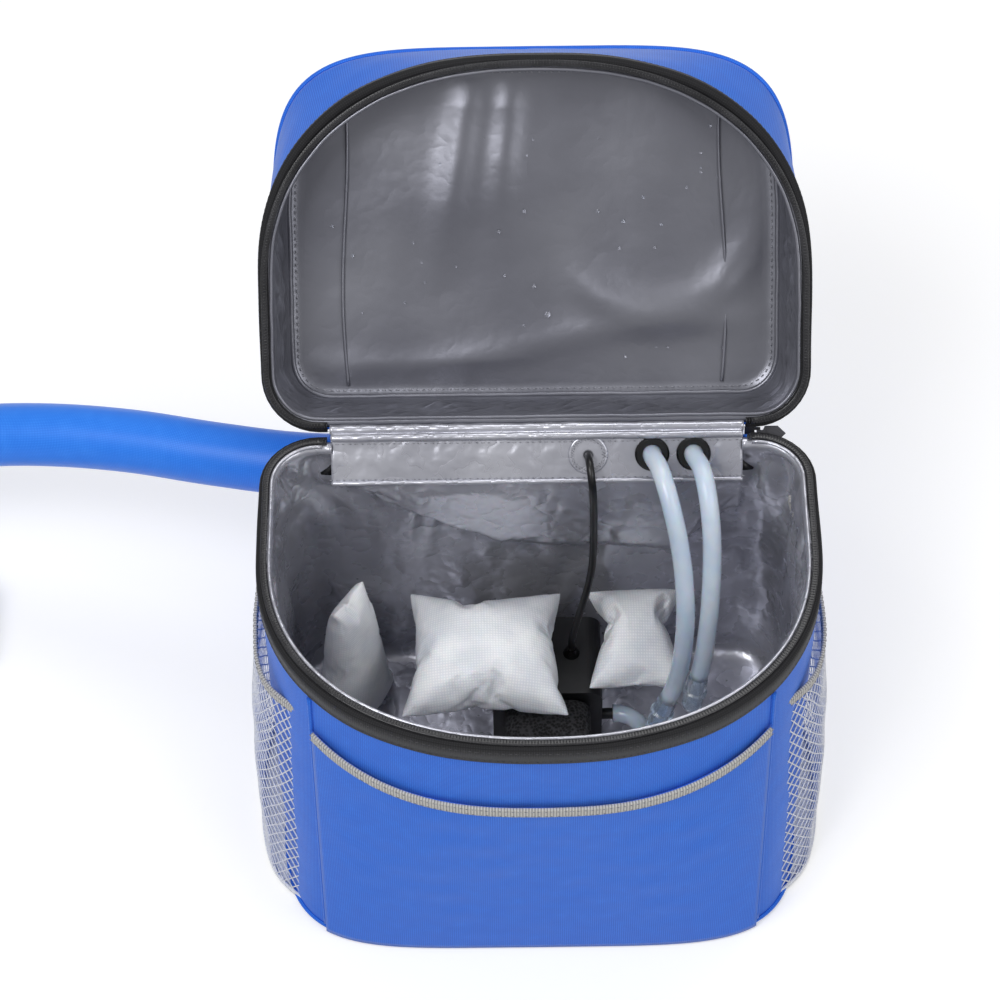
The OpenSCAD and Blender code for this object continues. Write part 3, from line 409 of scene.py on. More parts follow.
def net_tree():
    """Turns a lattice of edges into knitted strands."""
    tree = bpy.data.node_groups.get("net_strands")
    if tree:
        return tree
    tree = bpy.data.node_groups.new("net_strands", "GeometryNodeTree")
    for name, kind in (("Geometry", "Geometry"), ("Radius", "Float"), ("Material", "Material")):
        tree.interface.new_socket(name, in_out="INPUT", socket_type="NodeSocket" + kind)
    tree.interface.new_socket("Geometry", in_out="OUTPUT", socket_type="NodeSocketGeometry")
    given = add(tree, "NodeGroupInput")
    curve = add(tree, "GeometryNodeMeshToCurve", inputs={0: given.outputs["Geometry"]})
    ring = add(tree, "GeometryNodeCurvePrimitiveCircle", inputs={"Resolution": 4, "Radius": given.outputs["Radius"]})
    strand = add(tree, "GeometryNodeCurveToMesh", inputs={
        "Curve": curve.outputs[0], "Profile Curve": ring.outputs["Curve"]})
    real = add(tree, "GeometryNodeRealizeInstances", inputs={0: strand.outputs[0]})
    soft = add(tree, "GeometryNodeSetShadeSmooth", inputs={0: real.outputs[0]})
    last = add(tree, "GeometryNodeSetMaterial", inputs={0: soft.outputs[0], "Material": given.outputs["Material"]})
    add(tree, "NodeGroupOutput", inputs={0: last.outputs[0]})
    return tree


def grow(name, points, edges, tree, values, lid=False):
    """Runs a node tree on a wire of points in mm and keeps the result as a plain mesh."""
    wire = bpy.data.meshes.new(name + "_wire")
    wire.from_pydata((np.asarray(points, float) / 1000).tolist(), edges, [])
    holder = bpy.data.objects.new(name + "_wire", wire)
    bpy.context.scene.collection.objects.link(holder)
    modifier = holder.modifiers.new("grow", "NODES")
    modifier.node_group = tree
    for item in tree.interface.items_tree:
        if item.item_type == "SOCKET" and item.in_out == "INPUT" and item.name in values:
            modifier[item.identifier] = values[item.name]
    bpy.context.view_layer.update()
    graph = bpy.context.evaluated_depsgraph_get()
    mesh = bpy.data.meshes.new_from_object(holder.evaluated_get(graph))
    mesh.name = name
    bpy.data.objects.remove(holder)
    bpy.data.meshes.remove(wire)
    if not mesh.vertices:
        raise RuntimeError(name + " came out empty")
    if lid:
        mesh.transform(LID_MATRIX)
    obj = bpy.data.objects.new(name, mesh)
    bpy.context.scene.collection.objects.link(obj)
    return obj


def row_of(name, lines, spacing, size, finish, body, slot, lid=False):
    """Stitches or teeth along one or more lines in mm, as one mesh."""
    points, edges = [], []
    for line in lines:
        start = len(points)
        points += [list(p) for p in line]
        edges += [(start + i, start + i + 1) for i in range(len(line) - 1)]
    obj = grow(name, points, edges, repeat_tree(), {
        "Spacing": spacing / 1000, "Size": [s / 1000 for s in size], "Material": finish}, lid)
    return finished(obj, body, slot)


# ---------------------------------------------------------------- finishes


def start(name):
    """A new material with its shader and its coordinates: Object, and the UV map in metres."""
    made = bpy.data.materials.new(name)
    made.use_nodes = True
    tree = made.node_tree
    place = add(tree, "ShaderNodeTexCoord")
    return made, tree, tree.nodes["Principled BSDF"], place.outputs["Object"], place.outputs["UV"]


def thread(tree, coords, pitch, axis="X", wobble=0.4):
    """Ridges pitch mm apart across an axis, 0 to 1. A wave's period is 0.314 / scale."""
    return add(tree, "ShaderNodeTexWave", {"wave_type": "BANDS", "bands_direction": axis}, {
        "Vector": coords, "Scale": 314.16 / pitch, "Distortion": wobble, "Detail": 1.0,
        "Detail Scale": 2.0}).outputs["Fac"]


def grain(tree, coords, size, detail=3.0, rough=0.55):
    """Wandering grain with features of about size mm, 0 to 1."""
    return add(tree, "ShaderNodeTexNoise", None, {
        "Vector": coords, "Scale": 1000.0 / size, "Detail": detail, "Roughness": rough}).outputs["Fac"]


def sums(tree, kind, a, b):
    return add(tree, "ShaderNodeMath", {"operation": kind}, {0: a, 1: b}).outputs[0]


def tint(tree, shader, fac, dark, light):
    """Colour between two tones by a field."""
    ramp = add(tree, "ShaderNodeValToRGB", None, {"Fac": fac})
    ramp.color_ramp.elements[0].color, ramp.color_ramp.elements[1].color = linear(dark), linear(light)
    ramp.color_ramp.elements[0].position, ramp.color_ramp.elements[1].position = 0.28, 0.72
    tree.links.new(ramp.outputs["Color"], shader.inputs["Base Color"])


def relief(tree, shader, layers):
    """Bumps laid over each other: (field, depth in mm, strength)."""
    normal = None
    for field, depth, strength in layers:
        values = {"Height": field, "Distance": depth / 1000, "Strength": strength}
        if normal:
            values["Normal"] = normal
        normal = add(tree, "ShaderNodeBump", None, values).outputs["Normal"]
    tree.links.new(normal, shader.inputs["Normal"])


def rough_by(tree, shader, fac, low, high):
    span = add(tree, "ShaderNodeMapRange", None, {"Value": fac, "To Min": low, "To Max": high})
    tree.links.new(span.outputs["Result"], shader.inputs["Roughness"])


def shine(shader, **values):
    for key, value in values.items():
        shader.inputs[key.replace("_", " ")].default_value = value


FINISHES = {}


def woven(name, dark, light, pitch, depth, rough, sheen=0.25):
    """A plain weave: warp and weft ridges on the piece's own UV map."""
    made, tree, shader, coords, uv = start(name)
    warp, weft = thread(tree, uv, pitch, "X"), thread(tree, uv, pitch, "Y")
    weave = sums(tree, "MULTIPLY", warp, weft)
    slub = grain(tree, uv, 9, 4.0)
    tone = sums(tree, "ADD", sums(tree, "MULTIPLY", weave, 0.55), sums(tree, "MULTIPLY", slub, 0.45))
    tint(tree, shader, tone, dark, light)
    relief(tree, shader, [(grain(tree, coords, 30, 2.0), 0.5, 0.15), (weave, depth, 0.55)])
    rough_by(tree, shader, slub, rough - 0.06, rough + 0.06)
    shine(shader, Sheen_Weight=sheen, Sheen_Roughness=0.4, Specular_IOR_Level=0.35)
    return made


def peva_film(name, dark, light, metal, rough, crumple):
    """PEVA film, silver-pigmented and calendered: satin, creased where it is gathered."""
    made, tree, shader, coords, uv = start(name)
    broad = grain(tree, coords, 60, 1.0, 0.4)
    crinkle = grain(tree, coords, 14, 2.0, 0.5)
    ridge = sums(tree, "ABSOLUTE", sums(tree, "SUBTRACT", crinkle, 0.5), 0.0)
    fine = grain(tree, coords, 1.6, 2.0)
    tint(tree, shader, broad, dark, light)
    relief(tree, shader, [(broad, 3.0, 0.3 * crumple), (ridge, 2.2, 0.5 * crumple), (fine, 0.05, 0.25)])
    rough_by(tree, shader, crinkle, rough - 0.03, rough + 0.06)
    shine(shader, Metallic=metal, Specular_IOR_Level=0.5)
    return made


def moulded(name, colour, rough, size=0.9, depth=0.04, lighter=None):
    """Moulded plastic, rubber or metal: nearly even, with a fine surface and faint wear."""
    made, tree, shader, coords, uv = start(name)
    cloud = grain(tree, coords, 22, 3.0)
    tint(tree, shader, cloud, colour, lighter or colour)
    relief(tree, shader, [(grain(tree, coords, size, 3.0), depth, 0.5)])
    rough_by(tree, shader, cloud, rough - 0.05, rough + 0.07)
    return made, shader


def make_finishes(look):
    """Every finish of the object, named for the real material and how it was made."""
    f = FINISHES
    # Polyester oxford, plain woven: matt, faint sheen; thread 0.4 mm, drawn at 1.1 mm so it shows
    f["oxford"] = woven("polyester_oxford_woven", look.fabric_dark, look.fabric_light, 1.1, 0.16, 0.66)
    # The hose's sleeve is a tighter, smoother polyester: a soft highlight runs along it
    f["sleeve"] = woven("polyester_sleeve_woven", "#2478E8", "#3F93FA", 0.9, 0.05, 0.40, 0.1)
    # Silver PEVA film as two copies of one material: the body's copy is painted lighter, painted light for the inside
    # of the deep box; the lid's copy is painted darker, painted shade standing for the dark surroundings that it
    # reflects
    f["liner"] = peva_film("peva_film_body_painted_light", look.liner_dark, look.liner_light, 0.62, 0.26, 1.3)
    f["lid_liner"] = peva_film("peva_film_lid_painted_shade", "#74757F", "#85868F", 0.62, 0.30, 0.3)
    # Polyester zip tape, twill woven: charcoal, rough; ribs 0.5 mm, drawn at 1.2 mm
    f["zip_tape"] = woven("zip_tape_twill_woven", "#111114", "#26262A", 1.2, 0.2, 0.75, 0.1)
    # Grosgrain ribbon: weft ribs 0.6 mm, drawn at 1.5 mm, across a warm light grey
    made, tree, shader, coords, uv = start("grosgrain_ribbon_woven")
    rib = thread(tree, uv, 1.5, "Y", 0.2)
    tint(tree, shader, sums(tree, "ADD", sums(tree, "MULTIPLY", rib, 0.7),
                            sums(tree, "MULTIPLY", grain(tree, uv, 6), 0.3)), "#979592", "#CBC9C4")
    relief(tree, shader, [(rib, 0.25, 0.7)])
    shine(shader, Roughness=0.72, Sheen_Weight=0.2, Specular_IOR_Level=0.3)
    f["grosgrain"] = made
    # Polyester thread, twisted: slightly glossy; its twist is drawn at 1 mm
    for key, dark, light in (("thread_grey", "#6E6F78", "#A5A6AE"), ("thread_blue", "#1E57BE", "#3E80E6"),
                             ("thread_dark", "#2B2B30", "#4A4A50")):
        made, tree, shader, coords, uv = start("polyester_" + key + "_twisted")
        twist = thread(tree, coords, 1.0, "DIAGONAL", 0.6)
        tint(tree, shader, twist, dark, light)
        relief(tree, shader, [(twist, 0.08, 0.5)])
        shine(shader, Roughness=0.5)
        f[key] = made
    # Knitted polyester net: off-white, fluffy strands
    made, tree, shader, coords, uv = start("polyester_net_knitted")
    knit = grain(tree, coords, 1.2, 2.0)
    tint(tree, shader, knit, "#C6CAD6", "#F0F1F6")
    relief(tree, shader, [(knit, 0.1, 0.6)])
    shine(shader, Roughness=0.6, Sheen_Weight=0.2)
    f["net"] = made
    # Nylon zip coil, drawn wire: black, half gloss
    f["coil"], shader = moulded("nylon_coil_drawn", "#1A1A1D", 0.26, 0.7, 0.03, "#303034")
    # EPDM rubber, moulded and glossy: one sharp highlight
    f["rubber"], shader = moulded("epdm_rubber_moulded", "#08080A", 0.24, 1.2, 0.02, "#121214")
    # ABS, injection moulded with a fine spark texture
    f["abs_black"], shader = moulded("abs_black_injection_moulded", "#141416", 0.45, 0.8, 0.05, "#1E1E21")
    f["abs_white"], shader = moulded("abs_white_injection_moulded", "#DCDEE0", 0.38, 0.9, 0.03, "#E8EAEC")
    f["abs_blue"], shader = moulded("abs_blue_injection_moulded", "#1F6FE0", 0.38, 0.9, 0.03, "#2F80EE")
    # PVC cable jacket, extruded: black, faint drawn lines
    f["jacket"], shader = moulded("pvc_jacket_extruded", "#0B0B0D", 0.34, 1.5, 0.02, "#17171A")
    # Zinc slider, die cast and plated black; the pull is soft-touch TPU
    f["zinc"], shader = moulded("zinc_die_cast_black", "#3A3A3F", 0.32, 0.8, 0.03, "#55555B")
    shine(shader, Metallic=0.85)
    f["tpu"], shader = moulded("tpu_pull_moulded", "#3B3B40", 0.55, 0.9, 0.06, "#4A4A50")
    # Spring steel wire, cold drawn
    f["steel"], shader = moulded("spring_steel_drawn", "#A9ABAF", 0.28, 0.6, 0.01, "#C4C6CA")
    shine(shader, Metallic=1.0)
    # Alumina shaft, ground: white, smooth
    f["ceramic"], shader = moulded("alumina_ceramic_ground", "#EDEBE6", 0.22, 0.6, 0.01, "#F5F3EF")
    # Grey board, pressed fibre
    f["board"], shader = moulded("pressed_fibre_board", "#6C6C6E", 0.85, 2.0, 0.15, "#808082")
    # Open-cell polyether sponge: charcoal with 1 mm pores, drawn at 1.6 mm
    made, tree, shader, coords, uv = start("polyether_sponge_foamed")
    cells = add(tree, "ShaderNodeTexVoronoi", None, {"Vector": coords, "Scale": 620.0}).outputs["Distance"]
    tint(tree, shader, cells, "#0E0E10", "#3A3A3D")
    relief(tree, shader, [(cells, 0.9, 0.9)])
    shine(shader, Roughness=0.95)
    f["sponge"] = made
    # Silicone tube, extruded: milky, pale blue; the fittings are clear moulded polycarbonate
    for key, light, see, rough in (("silicone", "#E3EEFB", 0.25, 0.22), ("clear", "#E6EEF7", 0.8, 0.12)):
        made, tree, shader, coords, uv = start("silicone_extruded" if key == "silicone" else "polycarbonate_moulded")
        haze = grain(tree, coords, 18, 2.0)
        tint(tree, shader, haze, "#CDDFF5", light)
        relief(tree, shader, [(grain(tree, coords, 0.8, 1.0), 0.01, 0.2)])
        rough_by(tree, shader, haze, rough, rough + 0.05)
        shine(shader, Transmission_Weight=see, IOR=1.41, Subsurface_Weight=0.35 if see < 0.5 else 0.0,
              Subsurface_Scale=0.004, Coat_Weight=0.3, Coat_Roughness=0.12)
        f[key] = made
    # Spunbond non-woven, point bonded: white with a woven-looking dimple grid 1 mm, drawn at 1.4 mm
    made, tree, shader, coords, uv = start("spunbond_nonwoven_bonded")
    dimple = sums(tree, "MULTIPLY", thread(tree, uv, 1.4, "X", 0.8), thread(tree, uv, 1.4, "Y", 0.8))
    wet = grain(tree, coords, 20, 3.0)
    tone = sums(tree, "ADD", sums(tree, "MULTIPLY", dimple, 0.3), sums(tree, "MULTIPLY", wet, 0.8))
    tint(tree, shader, tone, look.pack_dark, look.pack_light)
    crumple = grain(tree, coords, 13, 4.0)
    relief(tree, shader, [(crumple, 1.6, 0.5), (dimple, 0.16, 0.5)])
    rough_by(tree, shader, wet, 0.32, 0.6)
    shine(shader, Subsurface_Weight=0.15, Subsurface_Scale=0.004, Coat_Weight=0.18, Coat_Roughness=0.25)
    f["pack"] = made
    # Water: clear drops on the film
    made, tree, shader, coords, uv = start("water_still")
    ripple = grain(tree, coords, 3, 1.0)
    relief(tree, shader, [(ripple, 0.02, 0.2)])
    tint(tree, shader, ripple, "#F4F8FC", "#FFFFFF")
    shine(shader, Roughness=0.03, IOR=1.333, Transmission_Weight=1.0)
    f["water"] = made


# ---------------------------------------------------------------- stage


def build_stage(look):
    scene = bpy.context.scene
    scene.view_settings.view_transform = "Standard"
    elevation, roll = math.radians(55.0), math.radians(0.7)
    target = Vector((-0.019, -0.003, 0.280))
    ahead = Vector((0, math.cos(elevation), -math.sin(elevation)))
    level, rise = Vector((1, 0, 0)), Vector((0, math.sin(elevation), math.cos(elevation)))
    right = level * math.cos(roll) - rise * math.sin(roll)
    up = rise * math.cos(roll) + level * math.sin(roll)
    lens = bpy.data.cameras.new("photo_camera")
    lens.sensor_fit, lens.sensor_width, lens.lens = "HORIZONTAL", 36.0, 36.0 * 3390 / 1000
    camera = bpy.data.objects.new("photo_camera", lens)
    camera.matrix_world = Matrix.Translation(target - 1.6 * ahead) @ Matrix((right, up, -ahead)).transposed().to_4x4()
    scene.collection.objects.link(camera)
    scene.camera = camera

    made = bpy.data.materials.new("studio_floor_painted")
    made.use_nodes = True
    tree = made.node_tree
    tree.nodes.clear()
    ray = add(tree, "ShaderNodeLightPath")
    seen = sums(tree, "MAXIMUM", ray.outputs["Is Camera Ray"], ray.outputs["Is Glossy Ray"])
    seen = sums(tree, "MAXIMUM", seen, ray.outputs["Is Transmission Ray"])
    paint = add(tree, "ShaderNodeBsdfDiffuse", None, {"Color": (0.78, 0.78, 0.78, 1)})
    glow = add(tree, "ShaderNodeEmission", None, {
        "Color": (1, 1, 1, 1), "Strength": sums(tree, "MULTIPLY", seen, look.floor_lift)})
    both = add(tree, "ShaderNodeAddShader", None, {0: paint.outputs[0], 1: glow.outputs[0]})
    add(tree, "ShaderNodeOutputMaterial", None, {"Surface": both.outputs[0]})
    floor = piece("studio_floor", [(-9000, -9000, -0.3), (9000, -9000, -0.3), (9000, 9000, -0.3),
                                   (-9000, 9000, -0.3)], [[0, 1, 2, 3]], made, flat=True)

    world = bpy.data.worlds.new("studio_world")
    world.use_nodes = True
    tree = world.node_tree
    tree.nodes.clear()
    ray = add(tree, "ShaderNodeLightPath")
    white = add(tree, "ShaderNodeBackground", None, {"Color": (1, 1, 1, 1), "Strength": 1.0})
    fill = add(tree, "ShaderNodeBackground", None, {"Color": (1, 1, 1, 1), "Strength": look.world_light})
    pick = add(tree, "ShaderNodeMixShader", None, {
        0: sums(tree, "MAXIMUM", ray.outputs["Is Camera Ray"], ray.outputs["Is Transmission Ray"]),
        1: fill.outputs[0], 2: white.outputs[0]})
    add(tree, "ShaderNodeOutputWorld", None, {"Surface": pick.outputs[0]})
    scene.world = world
    for name, at, power, size in (("key_softbox", (-0.75, -0.65, 1.75), look.key_light, 1.0),
                                  ("fill_softbox", (1.15, -0.75, 1.35), look.key_light * 0.42, 1.1),
                                  ("top_softbox", (0.25, 0.75, 1.75), look.key_light * 0.36, 0.8)):
        lamp = bpy.data.lights.new(name, "AREA")
        lamp.energy, lamp.shape, lamp.size, lamp.size_y = power, "RECTANGLE", size, size * 0.8
        holder = bpy.data.objects.new(name, lamp)
        aim = Vector((0, 0.03, 0.15)) - Vector(at)
        holder.matrix_world = Matrix.Translation(at) @ aim.to_track_quat("-Z", "Y").to_matrix().to_4x4()
        scene.collection.objects.link(holder)


# ---------------------------------------------------------------- cords


def free_line(name, route, diameter, finish, slot, nodes, sides=20, step=4.0):
    """One free cord along a route in mm."""
    line = smooth(route, step)
    obj = tube(name, line, diameter / 2, finish, sides)
    finished(obj, "bag", slot, *nodes)
    return obj


def build_lines(sizes):
    f, d = FINISHES, sizes.tube_diameter * 1000
    free_line("supply_water_tube", SUPPLY, d, f["silicone"], "clear_silicone",
              ["supply_tube"], 24)
    free_line("return_water_tube", RETURN, d, f["silicone"], "clear_silicone",
              ["return_tube"], 24)
    # the link to the pump is shorter than six diameters, so it is built as a plain tube here
    finished(tube("pump_water_tube", smooth(PUMP_TUBE, 2.0), d / 2, f["silicone"], 20), "bag", "clear_silicone",
             "pump_tube")
    free_line("pump_power_cable", CABLE, sizes.cable_diameter * 1000, f["jacket"], "cable_jacket",
              ["power_cable"], 14, 2.5)
    for name, route, r, key, slot, node in (
            ("supply_line_behind", SUPPLY_BACK, d / 2, "silicone", "clear_silicone", "supply_turn"),
            ("return_line_behind", RETURN_BACK, d / 2, "silicone", "clear_silicone", "return_turn"),
            ("power_lead_behind", INLET_BACK, sizes.cable_diameter * 500, "jacket", "cable_jacket", "inlet_lead")):
        finished(tube(name, smooth(route, 3.0), r, f[key], 16), "bag", slot, node)


def build_hose(sizes):
    """The sleeved hose, its gathered cuff at the rear cover, and the coil laid on the floor."""
    free_line("sleeved_hose", HOSE_RUN + HOSE_COIL, sizes.hose_diameter * 1000, FINISHES["sleeve"], "hose_sleeve",
              ["hose_run", "hose_coil"],
              28, 7.0)
    turn = np.linspace(0, 2 * np.pi, 72, endpoint=False)
    rows = []
    for x, r in ((-38.0, 17.3), (-37.6, 18.2), (-36.6, 18.6), (-30, 18.9), (-24, 19.7), (-18, 20.5), (-14, 20.7),
                 (-11.5, 20.7), (-10.2, 20.2), (-10.1, 17.3)):
        fold = 0.25 * np.sin(18 * turn) * (1 if -36 < x < -11 else 0.2)
        rows.append(np.c_[np.full(72, x), 117 + (r + fold) * np.cos(turn), 140 + (r + fold) * np.sin(turn)])
    cuff = cloth("hose_cuff", rows, FINISHES["oxford"], closed=True, ends=True)
    weld(cuff, True)
    finished(cuff, "bag", "blue_polyester", "hose_collar")
    rings = []
    for x in (-35.0, -31.5):
        rings.append([(x, 117 + 19.2 * math.cos(a), 140 + 19.2 * math.sin(a)) for a in np.linspace(0, 2 * np.pi, 60)])
    row_of("hose_cuff_stitches", rings, 3.0, (0.5, 0.5, 2.0), FINISHES["thread_blue"], "bag", "blue_polyester")


# ---------------------------------------------------------------- bag


def wall_slack(loop, z, depth, seed):
    """How far a woven wall stands out of its pattern at height z: broad folds, none at the seams."""
    run = np.r_[0, np.cumsum(np.linalg.norm(np.diff(loop, axis=0), axis=1))]
    slack = waves(run, z * 1.0, 95, seed) * 0.7 + waves(run, z * 1.6, 38, seed + 1) * 0.3
    hold = np.clip(np.abs(np.abs(loop[:, 0]) - SEAM_X) / 14, 0.15, 1)
    return depth * slack * hold


def shell_point_rows(heights, inset, lid=False, depth=0.8, seed=3):
    rows = []
    for z in heights:
        loop = section(lid, z, inset)
        top = LID_HEIGHT if lid else HEIGHT
        hold = np.sin(np.pi * min(max(z / top, 0.0), 1.0)) ** 0.5 if 0 < z < top else 0
        rows.append(loop + outward(loop) * (wall_slack(loop, z, depth * hold, seed)[:, None] - 0.35 * depth * hold))
    return rows


def shrunk(loop, z, parts, lift=None):
    """Rings from an outline in to its middle, at height z plus lift(x, y)."""
    middle = np.array([0, loop[:, 1].mean(), z])
    rows = []
    for share in np.linspace(1, 0.0, parts)[1:]:
        ring = middle + (loop - middle) * share
        ring[:, 2] = z
        if lift is not None:
            ring[:, 2] += lift(ring[:, 0], ring[:, 1], share)
        rows.append(ring)
    return rows


def build_shell(look):
    """The bag's outer fabric with its rounded base edge and piped seams."""
    f = FINISHES
    heights = list(np.linspace(5, 200, 42))
    rounding = [(0.0, 5.0), (0.25, 3.2), (1.4, 1.2), (3.0, 0.35)]
    rows = [section(False, 0, 5.0) * [1, 1, 0]]
    rows = shrunk(rows[0], 0.0, 12)[::-1] + rows
    for z, inset in rounding[1:]:
        rows.append(section(False, z, inset))
    rows += shell_point_rows(heights, 0.0)
    shell = cloth("bag_outer_fabric", rows, f["oxford"], closed=True)
    weld(shell)
    cut_notch(shell)
    solidify(shell, 1.0)
    finished(shell, "bag", "blue_polyester", "base_panel", "front_panel", "left_side_panel", "right_side_panel",
             "back_panel", "base_board")
    # piping in the two front seams and round the base
    for side, name in ((-1, "left_front_piping"), (1, "right_front_piping")):
        line = []
        for z in np.linspace(6, 187, 40):
            half = section(False, z, -0.4)[:121]
            y = np.interp(SEAM_X, half[:70, 0], half[:70, 1])
            line.append((side * SEAM_X, y, z))
        finished(tube(name, line, 1.25, f["oxford"], 10), "bag", "blue_polyester")
    loop = section(False, 3.0, -0.3)
    finished(sweep("base_piping", loop, outward(loop), upright(loop), circle(1.2), f["oxford"],
                   closed=True), "bag", "blue_polyester")


def build_liner(look):
    """The silver film inside the body: a rolled lip, creased walls and a loose floor."""
    f = FINISHES
    lip = [(199.4, 1.5), (199.7, 3.2), (199.6, 4.8), (198.6, 6.1), (196.5, 6.8)]
    rows = [section(False, z, inset) for z, inset in lip]
    for z in np.linspace(194, 16, 62):
        loop = section(False, z, WALL)
        run = np.r_[0, np.cumsum(np.linalg.norm(np.diff(loop, axis=0), axis=1))]
        share = np.clip((z - 110) / 70, 0, 1)
        drape = waves(run, z * 0.16, 30, 11) * 3.6 + creases(run, z * 0.5, 26, 12) * 2.2
        slack = (0.4 + share) * drape + 0.6
        slack = np.clip(slack, -3.0 - 2.4 * share, 5.2)
        # the film hangs loose below the zip, most at the sides and the front
        belly = 1.6 * share * np.sin(np.pi * np.clip((194 - z) / 84, 0, 1))
        hold = min(1.0, (198 - z) / 10)
        rows.append(loop + outward(loop) * ((slack - belly) * hold)[:, None])
    for z, inset in ((12.5, 8.0), (10, 10.5), (8.9, 14.0)):
        rows.append(section(False, z, inset))

    def floor_folds(x, y, share):
        return np.abs(waves(x, y, 40, 21)) * 0.5 * (1 - share) * 2
    rows += shrunk(section(False, 8.6, 16), 8.6, 18, floor_folds)
    liner = cloth("bag_inner_film", rows, f["liner"], closed=True)
    weld(liner)
    cut_notch(liner)
    solidify(liner, 0.6)
    finished(liner, "bag", "silver_lining", "body_lining", "body_foam")
    loop = section(False, 200.6, 5.2)
    keep = [p for p in np.roll(loop, 120, axis=0) if not (abs(p[0]) < ZIP_END and p[1] > 60)]
    finished(tube("bag_rim_piping", keep, 1.0, f["liner"], 10), "bag", "silver_lining")


def seam_cord(name, line):
    """A thin piped seam in the lid's film, drawn closed and swung open."""
    cord = tube(name, line, 0.9, FINISHES["lid_liner"], 8)
    cord.data.transform(LID_MATRIX)
    return cord


def build_lid(look):
    """The lid: outer fabric, and the film inside with its piped roof panel."""
    f = FINISHES
    rows = shell_point_rows(np.linspace(3.0, 50.0, 16), 0.0, True, 0.7, 31)
    for z, inset in ((52.2, 0.5), (53.9, 1.7), (54.9, 4.2)):
        rows.append(section(True, z, inset))

    def crown(x, y, share):
        return -0.5 + 0.45 * waves(x, y, 90, 33) * (1 - share ** 4)
    rows += shrunk(section(True, 54.9, 6), 54.9, 22, crown)
    shell = cloth("lid_outer_fabric", rows, f["oxford"], closed=True, lid=True)
    weld(shell)
    solidify(shell, 1.0)
    finished(shell, "lid", "blue_polyester", "lid_top_panel", "lid_wall")
    loop = section(True, 53.2, 0.2)
    finished(sweep("lid_top_piping", loop, outward(loop), upright(loop), circle(1.3), f["oxford"],
                   lid=True, closed=True), "lid", "blue_polyester")

    rows = [section(True, z, inset) for z, inset in ((3.2, 1.5), (3.05, 3.4), (3.3, 5.4), (4.6, 6.6))]
    for z in np.linspace(7, 42, 20):
        loop = section(True, z, WALL)
        run = np.r_[0, np.cumsum(np.linalg.norm(np.diff(loop, axis=0), axis=1))]
        gather = creases(run, z * 1.2, 17, 41) * 1.3 + waves(run, z * 0.5, 30, 42) * 1.1
        hold = np.sin(np.pi * np.clip((z - 4) / 42, 0, 1)) ** 0.6
        rows.append(loop + outward(loop) * (np.clip(gather + 0.8, -1.2, 3.8) * hold)[:, None])
    rows += [section(True, 45.5, 7.6), section(True, 47.4, 9.6)]

    def roof(x, y, share):
        """Loose roof film: a bent ridge at the far right, streaks at the far left, level folds by the fold."""
        held = np.clip((1 - share) * 5, 0, 1)
        bend = np.hypot((x - 62) / 62, (y + 118) / 66)
        fold = -3.2 * np.exp(-((bend - 1) / 0.17) ** 2) * np.clip((y + 150) / 60, 0, 1) / (1 + np.exp(-(x - 22) / 7))
        fold += -2.4 * np.exp(-((x + 62 + 0.18 * y) / 9.0) ** 2) * np.clip((-y - 60) / 50, 0, 1)
        fold += -2.0 * np.exp(-((x + 28 + 0.1 * y) / 8.0) ** 2) * np.clip((-y - 90) / 40, 0, 1)
        fold += -1.3 * np.exp(-((y + 34 + 0.12 * x + 4 * np.sin(x / 31)) / 8.0) ** 2)
        return held * (fold + 1.0 * waves(x, y * 1.4, 96, 45) + 0.12 * waves(x, y, 38, 46))
    rows += shrunk(section(True, 48, 11), 48, 46, roof)
    film = cloth("lid_inner_film", rows, f["lid_liner"], closed=True, flip=True, lid=True)
    weld(film)
    solidify(film, 0.6)
    finished(film, "lid", "silver_lining", "lid_lining", "lid_foam")
    for name, z, inset, r in (("lid_roof_piping", 46.4, 8.4, 1.3), ("lid_rim_piping", 3.0, 5.6, 1.0)):
        loop = section(True, z, inset)
        line = loop + outward(loop) * (0.25 * waves(np.arange(240) * 3.3, 0, 24, 47))[:, None]
        finished(sweep(name, line, outward(loop), upright(loop), circle(r), f["lid_liner"], lid=True,
                       closed=True), "lid", "silver_lining")
    for side, word in ((-1, "left"), (1, "right")):
        line = [(side * (97 + 2.0 * math.sin(i / 9.0)), y, 47.2) for i, y in enumerate(np.linspace(-14, -158, 48))]
        finished(seam_cord(word + "_roof_seam", line), "lid", "silver_lining")
    seam = section(True, 46.9, 11.5)
    row_of("lid_roof_stitches", [seam - [0, 0, 0.2]], 3.4, (0.45, 0.45, 2.2), f["thread_grey"], "lid",
           "silver_lining", lid=True)


def front_y(x, z, out):
    """How far forward the front wall stands at x, out mm proud of the fabric."""
    half = section(False, z, -out)[:121]
    last = int(np.argmax(half[:, 0]))
    return np.interp(abs(x), half[:last, 0], half[:last, 1])


def pocket_edge(x):
    """Height of the front pocket's edge: lowest in the middle."""
    return POCKET_LOW + POCKET_RISE * (x / SEAM_X) ** 2


